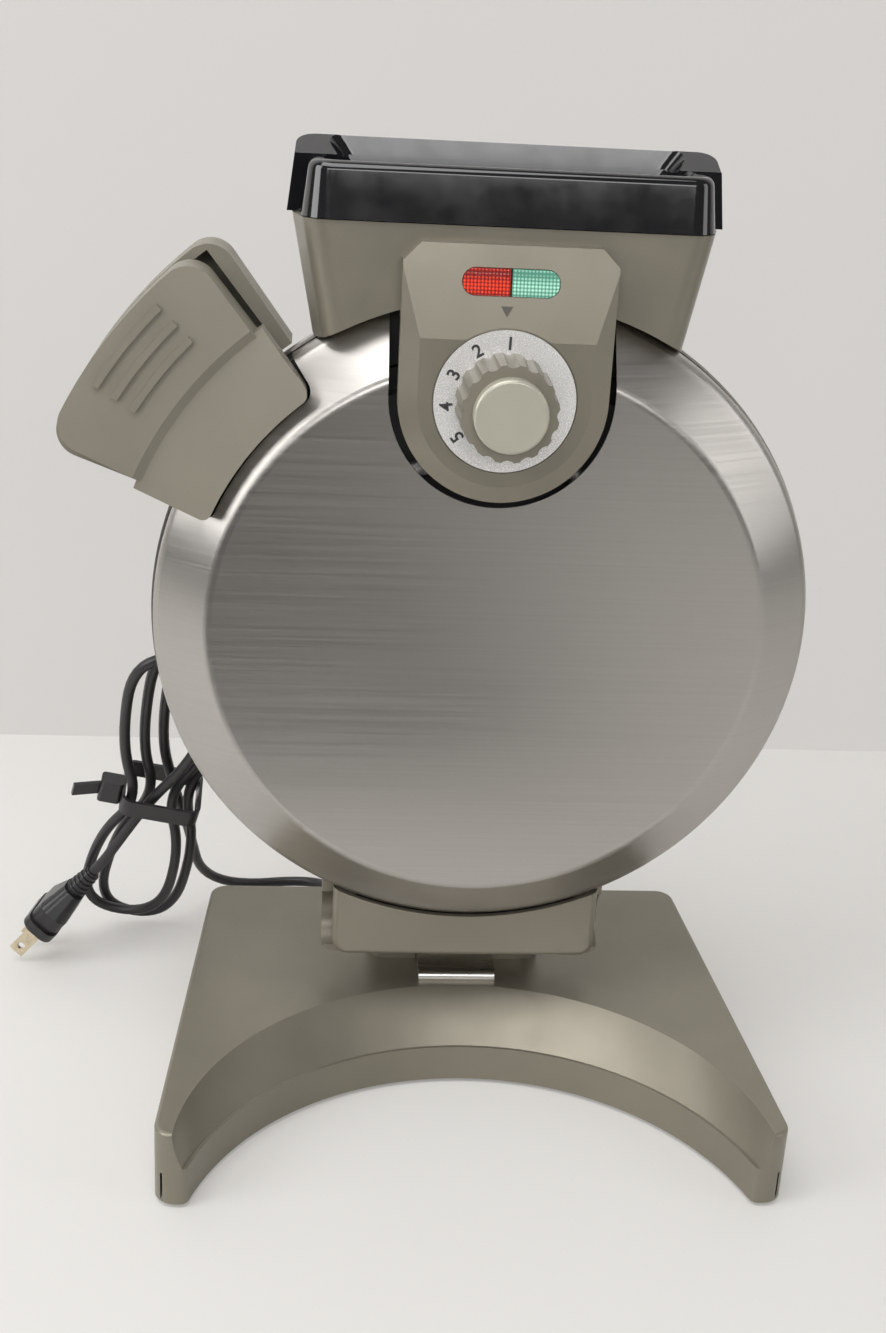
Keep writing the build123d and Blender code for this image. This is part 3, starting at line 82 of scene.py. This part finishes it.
def bevelled(piece, width):
    """Break every edge of the piece by a small bevel."""
    deselect()
    piece.select_set(True)
    bpy.context.view_layer.objects.active = piece
    edge = piece.modifiers.new("edge", "BEVEL")
    edge.width = width
    edge.segments = 2
    bpy.ops.object.modifier_apply(modifier=edge.name)


def smooth(piece, degrees=35):
    """Shade smooth, with edges sharper than the angle kept."""
    deselect()
    piece.select_set(True)
    bpy.context.view_layer.objects.active = piece
    bpy.ops.object.shade_smooth_by_angle(angle=math.radians(degrees))


# Camera
deselect()
bpy.ops.object.camera_add(location=CAMERA_PLACE)
camera = take_up("camera")
camera.data.sensor_fit = "VERTICAL"
camera.data.sensor_height = SENSOR
camera.data.lens = FOCAL_PIXELS * SENSOR / PHOTO_SIZE[1]
camera.data.clip_start = 0.01
camera.data.clip_end = 20
right = Vector((math.cos(CAMERA_YAW), math.sin(CAMERA_YAW), 0))
forward = Vector(
    (
        -math.sin(CAMERA_YAW) * math.cos(CAMERA_PITCH),
        math.cos(CAMERA_YAW) * math.cos(CAMERA_PITCH),
        -math.sin(CAMERA_PITCH),
    )
)
upward = right.cross(forward)
camera_x = math.cos(CAMERA_ROLL) * right + math.sin(CAMERA_ROLL) * upward
camera_y = math.cos(CAMERA_ROLL) * upward - math.sin(CAMERA_ROLL) * right
camera.rotation_euler = Matrix((camera_x, camera_y, -forward)).transposed().to_euler()
bpy.context.scene.camera = camera


# Mains cord: one piece from the gland through the folded hank to the plug, in millimetres until drawn
CORD_D = 4.2 * MM
GLAND_EXIT = Vector((-45.0, 106.7, 12.0))
LEAD_BEHIND = Vector((-45.0, 138.0, 4.0))
HANK_LOOPS = 3
HANK_FOLD = 13.0
HANK_FOLD_GROWS = 0.7
HANK_WAIST = 2.0
HANK_FAN = 6.5
HANK_PITCH = 5.2
HANK_SPREAD = 28.0
HANK_ENDS = 26.0
TOP_STEP = 7.0
BOTTOM_FOLD = 2.5
BOTTOM_STEP = 6.0
FOLD_OUT = 4.0
HANK_LOW = Vector((-135.0, 98.0, 5.0))
HANK_HIGH = Vector((-97.5, 43.0, 150.0))
HANK_LENGTH = (HANK_HIGH - HANK_LOW).length
HANK_ALONG = (HANK_HIGH - HANK_LOW).normalized()
HANK_DEPTH = HANK_ALONG.cross(Vector((1, 0, 0))).normalized()
HANK_ACROSS = HANK_DEPTH.cross(HANK_ALONG).normalized()
HANK_TIE_AT = HANK_LENGTH * 0.5
ENTRY_PITCHES = 1.3
ENTRY_ASIDE = 2
LEAVE_ASIDE = 7.5
LEAVE_THROUGH = 6
ENTRY_RUN = 57.0
ENTRY_SHIFT = Vector((-3.0, 0.0, -2.5))
BEND_RUN = 6.0
RELIEF_RUN = 7.0
PLUG_WAY = Vector((-0.63, 0.13, -0.76)).normalized()


def hank_point(u, v, w):
    """A point u along the hank, v across it and w through its loops."""
    return HANK_LOW + HANK_ALONG * u + HANK_ACROSS * v + HANK_DEPTH * w


def hank_points():
    """Control points of the folded cord: the part's own route, its fold corners a little further out."""
    last = HANK_LOOPS - 1
    entry_through = (last / 2 + ENTRY_PITCHES) * HANK_PITCH
    points = [(HANK_TIE_AT - HANK_ENDS, HANK_FOLD + ENTRY_ASIDE, entry_through)]
    for k in range(HANK_LOOPS):
        w = (last / 2 - k) * HANK_PITCH
        middle = (last / 2 - k) * HANK_FAN
        next_middle = middle - HANK_FAN
        half = HANK_FOLD + HANK_FOLD_GROWS * k
        corner = half + FOLD_OUT
        top = HANK_LENGTH - TOP_STEP * ((k + 1) % 2) + FOLD_OUT
        bottom = BOTTOM_FOLD + BOTTOM_STEP * (k % 2)
        points.extend(
            (
                (HANK_TIE_AT, middle - HANK_WAIST, w),
                (HANK_TIE_AT + HANK_SPREAD, middle - half, w),
                (top, middle - corner, w),
                (top, middle + corner, w),
                (HANK_TIE_AT + HANK_SPREAD, middle + half, w),
                (HANK_TIE_AT, middle + HANK_WAIST, w),
            )
        )
        if k < last:
            points.extend(
                (
                    (HANK_TIE_AT - HANK_SPREAD, middle + half, w - HANK_PITCH / 2),
                    (bottom, middle + half, w - HANK_PITCH / 2),
                    (bottom, next_middle - half, w - HANK_PITCH / 2),
                    (HANK_TIE_AT - HANK_SPREAD, next_middle - half, w - HANK_PITCH / 2),
                )
            )
        else:
            points.append((HANK_TIE_AT - HANK_ENDS, middle - LEAVE_ASIDE, w - LEAVE_THROUGH))
    return [hank_point(*p) for p in points]


hank = hank_points()
hank_way = (hank[1] - hank[0]).normalized()
hank_entry = hank[0] - hank_way * ENTRY_RUN + ENTRY_SHIFT
plug_out = (hank[-1] - hank[-2]).normalized()
lead_bend = hank[-1] + plug_out * BEND_RUN
relief_start = lead_bend + PLUG_WAY * RELIEF_RUN
route = [GLAND_EXIT, LEAD_BEHIND, hank_entry, *hank, lead_bend, relief_start]


def cord_curve(name, route, diameter):
    """A smooth round cord whose control points are the route's points, in millimetres."""
    data = bpy.data.curves.new(name, "CURVE")
    data.dimensions = "3D"
    data.resolution_u = 10
    spline = data.splines.new("NURBS")
    spline.points.add(len(route) - 1)
    for point, place in zip(spline.points, route):
        point.co = (*(place * MM), 1.0)
    spline.order_u = 3
    spline.use_endpoint_u = True
    data.bevel_depth = diameter / 2
    data.bevel_resolution = 5
    data.use_fill_caps = True
    piece = bpy.data.objects.new(name, data)
    bpy.context.scene.collection.objects.link(piece)
    return piece


mains_cord = cord_curve("mains_cord", route, CORD_D)


# Materials
TAUPE = (0.205, 0.187, 0.147)
TAUPE_LIGHT = (0.40, 0.385, 0.32)
STEEL = (0.44, 0.42, 0.395)
BLACK = (0.006, 0.006, 0.007)


def new_material(name):
    """A node material with its principled shader, ready to be wired."""
    material = bpy.data.materials.new(name)
    material.use_nodes = True
    tree = material.node_tree
    shader = tree.nodes["Principled BSDF"]
    return material, tree, shader


def object_noise(tree, scale, detail=3.0, roughness=0.5, stretch=(1, 1, 1)):
    """Noise on the piece's own coordinates; scale is in features per metre."""
    place = tree.nodes.new("ShaderNodeTexCoord")
    mapping = tree.nodes.new("ShaderNodeMapping")
    mapping.inputs["Scale"].default_value = stretch
    noise = tree.nodes.new("ShaderNodeTexNoise")
    noise.inputs["Scale"].default_value = scale
    noise.inputs["Detail"].default_value = detail
    noise.inputs["Roughness"].default_value = roughness
    tree.links.new(place.outputs["Object"], mapping.inputs["Vector"])
    tree.links.new(mapping.outputs["Vector"], noise.inputs["Vector"])
    return noise.outputs["Fac"]


def ranged(tree, value, low, high, start=0.3, end=0.7):
    """Spread a noise value between two limits."""
    reach = tree.nodes.new("ShaderNodeMapRange")
    reach.inputs["From Min"].default_value = start
    reach.inputs["From Max"].default_value = end
    reach.inputs["To Min"].default_value = low
    reach.inputs["To Max"].default_value = high
    tree.links.new(value, reach.inputs["Value"])
    return reach.outputs["Result"]


def two_colours(tree, value, first, second):
    """Blend of two colours by a value."""
    mix = tree.nodes.new("ShaderNodeMix")
    mix.data_type = "RGBA"
    mix.inputs[6].default_value = (*first, 1)
    mix.inputs[7].default_value = (*second, 1)
    tree.links.new(value, mix.inputs[0])
    return mix.outputs[2]


def product(tree, first, second):
    """Two values multiplied."""
    node = tree.nodes.new("ShaderNodeMath")
    node.operation = "MULTIPLY"
    tree.links.new(first, node.inputs[0])
    tree.links.new(second, node.inputs[1])
    return node.outputs["Value"]


def bump(tree, shader, height, strength, distance):
    """Wire a height into the shader's normal."""
    node = tree.nodes.new("ShaderNodeBump")
    node.inputs["Strength"].default_value = strength
    node.inputs["Distance"].default_value = distance
    tree.links.new(height, node.inputs["Height"])
    tree.links.new(node.outputs["Normal"], shader.inputs["Normal"])


def shade(colour, factor):
    """A colour made lighter or darker."""
    return tuple(min(1.0, c * factor) for c in colour)


def painted(name, colour, roughness=0.36, metallic=0.5, grain=0.00006):
    """Satin metallic paint with a fine grain and faint uneven tone."""
    material, tree, shader = new_material(name)
    tone = ranged(tree, object_noise(tree, 22, 4), 0, 1)
    colours = two_colours(tree, tone, shade(colour, 0.93), shade(colour, 1.07))
    tree.links.new(colours, shader.inputs["Base Color"])
    shader.inputs["Metallic"].default_value = metallic
    rough = ranged(tree, object_noise(tree, 60, 5, 0.6), roughness - 0.04, roughness + 0.06)
    tree.links.new(rough, shader.inputs["Roughness"])
    bump(tree, shader, object_noise(tree, 2600, 2), 0.25, grain)
    return material


def brushed(name, colour, roughness, stretch, depth=0.00003, streak=700):
    """Brushed metal: fine streaks in tone, roughness and relief."""
    material, tree, shader = new_material(name)
    streaks = object_noise(tree, streak, 3, 0.65, stretch)
    smudge = object_noise(tree, 9, 3, 0.5)
    mixed = tree.nodes.new("ShaderNodeMath")
    mixed.operation = "MULTIPLY_ADD"
    mixed.inputs[1].default_value = 0.75
    tree.links.new(streaks, mixed.inputs[0])
    soft = ranged(tree, smudge, 0.0, 0.12)
    tree.links.new(soft, mixed.inputs[2])
    tone = ranged(tree, mixed.outputs["Value"], 0, 1, 0.3, 0.8)
    colours = two_colours(tree, tone, shade(colour, 0.93), shade(colour, 1.07))
    tree.links.new(colours, shader.inputs["Base Color"])
    shader.inputs["Metallic"].default_value = 1.0
    rough = ranged(tree, mixed.outputs["Value"], roughness - 0.05, roughness + 0.08)
    tree.links.new(rough, shader.inputs["Roughness"])
    shader.inputs["Anisotropic"].default_value = 0.55
    bump(tree, shader, streaks, 0.25, depth)
    return material


def plastic(name, colour, roughness, grain=0.0, scale=1800, coat=0.0):
    """Moulded plastic, with an optional fine grain."""
    material, tree, shader = new_material(name)
    tone = ranged(tree, object_noise(tree, 35, 3), 0, 1)
    colours = two_colours(tree, tone, shade(colour, 0.9), shade(colour, 1.1))
    tree.links.new(colours, shader.inputs["Base Color"])
    rough = ranged(tree, object_noise(tree, 90, 4, 0.6), max(0.03, roughness - 0.02), roughness + 0.05)
    tree.links.new(rough, shader.inputs["Roughness"])
    shader.inputs["Coat Weight"].default_value = coat
    shader.inputs["Coat Roughness"].default_value = 0.06
    if grain:
        bump(tree, shader, object_noise(tree, scale, 2), 0.3, grain)
    return material


def metal(name, colour, roughness, scale=240, metallic=1.0):
    """Plain metal with slightly uneven polish."""
    material, tree, shader = new_material(name)
    tone = ranged(tree, object_noise(tree, scale, 4), 0, 1)
    colours = two_colours(tree, tone, shade(colour, 0.9), shade(colour, 1.08))
    tree.links.new(colours, shader.inputs["Base Color"])
    shader.inputs["Metallic"].default_value = metallic
    rough = ranged(tree, object_noise(tree, scale * 2, 3), roughness - 0.05, roughness + 0.08)
    tree.links.new(rough, shader.inputs["Roughness"])
    return material


def lamp_lens(name, colour, dark, glow):
    """Coloured clear plastic over a grid of small prisms, with a faint painted glow from emission."""
    material, tree, shader = new_material(name)
    place = tree.nodes.new("ShaderNodeTexCoord")
    turned = tree.nodes.new("ShaderNodeMapping")
    turned.inputs["Rotation"].default_value = (math.radians(90), 0, 0)
    turned.inputs["Scale"].default_value = (1000, 1000, 1000)
    tree.links.new(place.outputs["Object"], turned.inputs["Vector"])
    dots = tree.nodes.new("ShaderNodeTexVoronoi")
    dots.inputs["Scale"].default_value = 0.9
    dots.inputs["Randomness"].default_value = 0.0
    tree.links.new(turned.outputs["Vector"], dots.inputs["Vector"])
    level = ranged(tree, dots.outputs["Distance"], 1, 0, 0.15, 0.6)
    colours = two_colours(tree, level, dark, colour)
    tree.links.new(colours, shader.inputs["Base Color"])
    # Painted glow: the lens colour is also emitted, so the lens shines with no lamp lit behind it
    tree.links.new(colours, shader.inputs["Emission Color"])
    shader.inputs["Emission Strength"].default_value = glow
    shader.inputs["Roughness"].default_value = 0.12
    shader.inputs["Coat Weight"].default_value = 1.0
    shader.inputs["Coat Roughness"].default_value = 0.03
    bump(tree, shader, level, 0.5, 0.0004)
    return material


taupe_paint = painted("taupe_satin_paint", TAUPE)
taupe_handle = painted(
    "taupe_moulded_handle", shade(TAUPE, 0.92), roughness=0.5, metallic=0.15, grain=0.00009
)
taupe_knob = painted("taupe_dial_knob", shade(TAUPE, 0.9), roughness=0.4, metallic=0.15, grain=0.00003)
cap_paint = painted("dial_cap_satin", TAUPE_LIGHT, roughness=0.3, metallic=0.3, grain=0.00001)
lid_steel = brushed(
    "brushed_steel_sheet", STEEL, roughness=0.34, stretch=(0.007, 0.007, 1.0), depth=0.00002, streak=1300
)
strap_steel = brushed(
    "brushed_aluminium_strap", (0.62, 0.60, 0.56), roughness=0.3, stretch=(0.02, 1.0, 1.0)
)
dial_silver = metal("dial_silver", (0.74, 0.73, 0.72), roughness=0.24, scale=3000, metallic=0.45)
spout_black = plastic("gloss_black_spout", BLACK, roughness=0.07, coat=0.25)
seal_black = plastic("black_seal", (0.012, 0.012, 0.012), roughness=0.5, grain=0.00003)
cord_rubber = plastic(
    "black_cord_jacket", (0.014, 0.013, 0.014), roughness=0.38, grain=0.00002, scale=1400
)
plug_plastic = plastic(
    "black_plug_moulding", (0.013, 0.012, 0.013), roughness=0.3, grain=0.00002, scale=1600
)
blade_metal = metal("plug_blade_brass", (0.62, 0.54, 0.40), roughness=0.28)
zinc = metal("zinc_plated_steel", (0.62, 0.62, 0.63), roughness=0.35)
heater_metal = metal("heater_tube_steel", (0.18, 0.17, 0.17), roughness=0.5)
reflector_metal = metal("bright_reflector", (0.85, 0.85, 0.86), roughness=0.2)
plate_coating = painted(
    "non_stick_plate", (0.022, 0.021, 0.021), roughness=0.45, metallic=0.2, grain=0.00008
)
rubber = plastic("foot_rubber", (0.02, 0.02, 0.02), roughness=0.8, grain=0.00006)
ceramic = plastic("fired_ceramic", (0.75, 0.72, 0.64), roughness=0.55, grain=0.00004)
board_green = plastic("board_solder_mask", (0.02, 0.11, 0.05), roughness=0.35)
# Both lamp lenses carry a faint painted glow through their emission strength
red_plastic = lamp_lens("red_lamp_lens", (0.80, 0.045, 0.015), dark=(0.13, 0.002, 0.001), glow=0.30)
green_plastic = lamp_lens("green_lamp_lens", (0.42, 0.78, 0.62), dark=(0.06, 0.22, 0.15), glow=0.12)
print_dark = plastic("printed_dark", (0.03, 0.03, 0.032), roughness=0.5)
print_grey = plastic("printed_grey", (0.075, 0.068, 0.055), roughness=0.5)

FINISHES = {
    lid_steel: ["lid_cover", "rear_cover"],
    seal_black: ["lid_frame", "rear_frame"],
    taupe_paint: [
        "front_spout_housing", "rear_spout_housing", "control_panel", "handle_mount", "front_hinge_box",
        "rear_hinge_box", "base_shell", "base_plate", "support_column",
    ],
    taupe_handle: ["locking_handle", "rear_handle"],
    taupe_knob: ["dial_knob"],
    cap_paint: ["dial_cap"],
    dial_silver: ["dial_ring"],
    spout_black: ["front_spout_liner", "rear_spout_liner"],
    plate_coating: ["front_plate", "rear_plate"],
    heater_metal: ["front_heater", "rear_heater"],
    reflector_metal: ["front_reflector", "rear_reflector"],
    red_plastic: ["red_lens"],
    green_plastic: ["green_lens"],
    board_green: ["lamp_board"],
    ceramic: ["thermostat", "terminal_block", "indicator_lamps"],
    strap_steel: ["support_strap"],
    zinc: [
        "dial_shaft", "lever_pin", "latch_hook", "latch_keeper", "lever_spring", "hinge_pin", "base_screws",
        "strap_screws", "thermal_fuse",
    ],
    rubber: ["rubber_feet"],
    cord_rubber: ["cord_gland"],
    plug_plastic: ["cord_tie", "plug_body"],
    blade_metal: ["plug_blades"],
}


def dress(piece, material):
    """Give the whole piece one material."""
    piece.data.materials.clear()
    piece.data.materials.append(material)


for material, names in FINISHES.items():
    for name in names:
        dress(nodes[name], material)

# Ribs around the plug's strain relief
RELIEF_RINGS = 5
RELIEF_FIRST = 1.4
RELIEF_STEP = 2.2
RELIEF_R = 2.75
RELIEF_GROWS = 0.108
RELIEF_RIB_R = 0.62
for ring in range(RELIEF_RINGS):
    along_relief = RELIEF_FIRST + RELIEF_STEP * ring
    deselect()
    bpy.ops.mesh.primitive_torus_add(
        location=(relief_start + PLUG_WAY * along_relief) * MM,
        rotation=PLUG_WAY.to_track_quat("Z", "Y").to_euler(),
        major_segments=32,
        minor_segments=8,
        major_radius=(RELIEF_R + RELIEF_GROWS * along_relief) * MM,
        minor_radius=RELIEF_RIB_R * MM,
    )
    rib = settle(take_up(f"plug_relief_ring_{ring + 1}"))
    smooth(rib)
    dress(rib, plug_plastic)
    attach(rib, "stand")

# The cord stands for the part's lead, hank and plug lead
dress(mains_cord, cord_rubber)
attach(mains_cord, "stand")
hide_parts("mains_lead", "cord_hank", "plug_lead")

# Dial numbers 1 to 5, printed on the silver ring with their tops outwards
DIAL_Z = 261.0 * MM
NUMBER_R = 18.3 * MM
NUMBER_SIZE = 5.8 * MM
NUMBER_BOLD = 0.12 * MM
NUMBER_STEP = math.radians(32.5)
NUMBER_START = math.radians(1.5)
PRINT_T = 0.12 * MM
ring_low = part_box("dial_ring")[0]
for number in range(1, 6):
    deselect()
    bpy.ops.object.text_add(location=(0, 0, 0))
    digit = take_up(f"dial_number_{number}")
    digit.data.body = str(number)
    digit.data.size = NUMBER_SIZE
    digit.data.align_x = "CENTER"
    digit.data.align_y = "CENTER"
    digit.data.extrude = PRINT_T / 2
    digit.data.offset = NUMBER_BOLD
    bpy.ops.object.convert(target="MESH")
    digit = bpy.context.object
    angle = NUMBER_START - NUMBER_STEP * (number - 1)
    upright = Matrix.Rotation(math.radians(90), 4, "X")
    turned = Matrix.Rotation(angle, 4, "Y")
    out = Vector((math.sin(angle), 0, math.cos(angle))) * NUMBER_R
    place = Matrix.Translation(Vector((out.x, ring_low[1], DIAL_Z + out.z)))
    digit.data.transform(place @ turned @ upright)
    dress(digit, print_dark)
    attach(digit, "dial")

# Pointer over the dial, printed on the leaning face of the control panel
POINTER_R = 2.2 * MM
POINTER_T = 0.3 * MM
POINTER_EDGE = 0.05 * MM
POINTER_PLACE = Vector((-0.95, -23.15, 289.4)) * MM
PANEL_LEAN_DEPTH = 4.0
PANEL_LEAN_HEIGHT = 28.6
PANEL_LEAN = math.atan2(PANEL_LEAN_DEPTH, PANEL_LEAN_HEIGHT)
deselect()
bpy.ops.mesh.primitive_cylinder_add(
    vertices=3,
    radius=POINTER_R,
    depth=POINTER_T,
    location=POINTER_PLACE,
    rotation=(-math.pi / 2 - PANEL_LEAN, 0, 0),
)
pointer = settle(take_up("dial_pointer"))
bevelled(pointer, POINTER_EDGE)
dress(pointer, print_grey)
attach(pointer, "lid")

# Floor and wall
FLOOR_SIZE = 8.0
WALL_Y = 0.30

# A darker floor patch that only reflected rays see, a painted reflection of shade in the steel lid: left of
# this and in front of this, with a soft border
SHADE_REFLECTION_RIGHT = 0.10
SHADE_REFLECTION_BACK = -0.28
SHADE_REFLECTION_SOFT = 0.06
SHADE_REFLECTION_TONE = 0.12


def studio_surface(name, colour, seen, share):
    """A pale matt surface that the camera sees partly at its written colour, with its shadows kept, and a
    darker patch painted where only reflections see it, a painted reflection of shade.
    """
    material, tree, shader = new_material(name)
    tone = ranged(tree, object_noise(tree, 3, 4), 0, 1)
    even = two_colours(tree, tone, shade(colour, 0.98), shade(colour, 1.02))
    place = tree.nodes.new("ShaderNodeTexCoord")
    apart = tree.nodes.new("ShaderNodeSeparateXYZ")
    tree.links.new(place.outputs["Object"], apart.inputs["Vector"])
    aside = ranged(tree, apart.outputs["X"], 1, 0, SHADE_REFLECTION_RIGHT - SHADE_REFLECTION_SOFT, SHADE_REFLECTION_RIGHT + SHADE_REFLECTION_SOFT)
    ahead = ranged(tree, apart.outputs["Y"], 1, 0, SHADE_REFLECTION_BACK - SHADE_REFLECTION_SOFT, SHADE_REFLECTION_BACK + SHADE_REFLECTION_SOFT)
    # Painted reflection: the floor turns darker for glossy rays only, so the steel mirrors painted shade
    mirrored = tree.nodes.new("ShaderNodeLightPath").outputs["Is Glossy Ray"]
    painted_reflection_mask = product(tree, product(tree, aside, ahead), mirrored)
    painted_reflection_mix = tree.nodes.new("ShaderNodeMix")
    painted_reflection_mix.data_type = "RGBA"
    painted_reflection_mix.inputs[7].default_value = (*shade(colour, SHADE_REFLECTION_TONE), 1)
    tree.links.new(even, painted_reflection_mix.inputs[6])
    tree.links.new(painted_reflection_mask, painted_reflection_mix.inputs[0])
    tree.links.new(painted_reflection_mix.outputs[2], shader.inputs["Base Color"])
    shader.inputs["Roughness"].default_value = 0.6
    glow = tree.nodes.new("ShaderNodeEmission")
    glow.inputs["Color"].default_value = (*seen, 1)
    path = tree.nodes.new("ShaderNodeLightPath")
    part = tree.nodes.new("ShaderNodeMath")
    part.operation = "MULTIPLY"
    part.inputs[1].default_value = share
    tree.links.new(path.outputs["Is Camera Ray"], part.inputs[0])
    blend = tree.nodes.new("ShaderNodeMixShader")
    tree.links.new(part.outputs["Value"], blend.inputs["Fac"])
    tree.links.new(shader.outputs["BSDF"], blend.inputs[1])
    tree.links.new(glow.outputs["Emission"], blend.inputs[2])
    tree.links.new(blend.outputs["Shader"], tree.nodes["Material Output"].inputs["Surface"])
    return material


deselect()
bpy.ops.mesh.primitive_plane_add(size=FLOOR_SIZE, location=(0, WALL_Y - FLOOR_SIZE / 2, 0))
floor = settle(take_up("floor"))
dress(floor, studio_surface("pale_floor", (0.66, 0.65, 0.63), (0.66, 0.64, 0.61), 0.35))

deselect()
bpy.ops.mesh.primitive_plane_add(
    size=FLOOR_SIZE,
    location=(0, WALL_Y, FLOOR_SIZE / 2),
    rotation=(math.pi / 2, 0, 0),
)
wall = settle(take_up("wall"))
dress(wall, studio_surface("pale_wall", (0.68, 0.67, 0.655), (0.615, 0.595, 0.57), 0.75))


def area_light(name, place, target, size, power):
    """One soft box that looks at a point."""
    deselect()
    bpy.ops.object.light_add(type="AREA", location=place)
    light = take_up(name)
    light.data.shape = "RECTANGLE"
    light.data.size = size[0]
    light.data.size_y = size[1]
    light.data.energy = power
    aim = Vector(target) - Vector(place)
    light.rotation_euler = aim.to_track_quat("-Z", "Y").to_euler()


HEAD_MIDDLE = (0, 0, 0.18)
PANEL_MIDDLE = (0, 0, 0.28)
area_light("top_softbox", (-0.3, -0.45, 1.4), HEAD_MIDDLE, (1.1, 0.9), 14.5)
area_light("left_softbox", (-1.2, -0.5, 0.7), HEAD_MIDDLE, (0.7, 0.9), 10.5)
area_light("right_softbox", (1.3, -0.5, 0.6), HEAD_MIDDLE, (0.5, 0.9), 3.5)
area_light("front_softbox", (0.0, -1.5, 0.75), PANEL_MIDDLE, (1.2, 0.35), 8)

# World: plain pale studio
world = bpy.data.worlds.new("studio")
bpy.context.scene.world = world
world.use_nodes = True
world_tree = world.node_tree
background = world_tree.nodes["Background"]
background.inputs["Color"].default_value = (0.60, 0.59, 0.575, 1)
background.inputs["Strength"].default_value = 0.27
seen = world_tree.nodes.new("ShaderNodeBackground")
seen.inputs["Color"].default_value = (0.70, 0.685, 0.665, 1)
seen.inputs["Strength"].default_value = 1.0
rays = world_tree.nodes.new("ShaderNodeLightPath")
mix = world_tree.nodes.new("ShaderNodeMixShader")
world_tree.links.new(rays.outputs["Is Camera Ray"], mix.inputs["Fac"])
world_tree.links.new(background.outputs["Background"], mix.inputs[1])
world_tree.links.new(seen.outputs["Background"], mix.inputs[2])
world_tree.links.new(mix.outputs["Shader"], world_tree.nodes["World Output"].inputs["Surface"])

bpy.context.scene.view_settings.view_transform = "Standard"
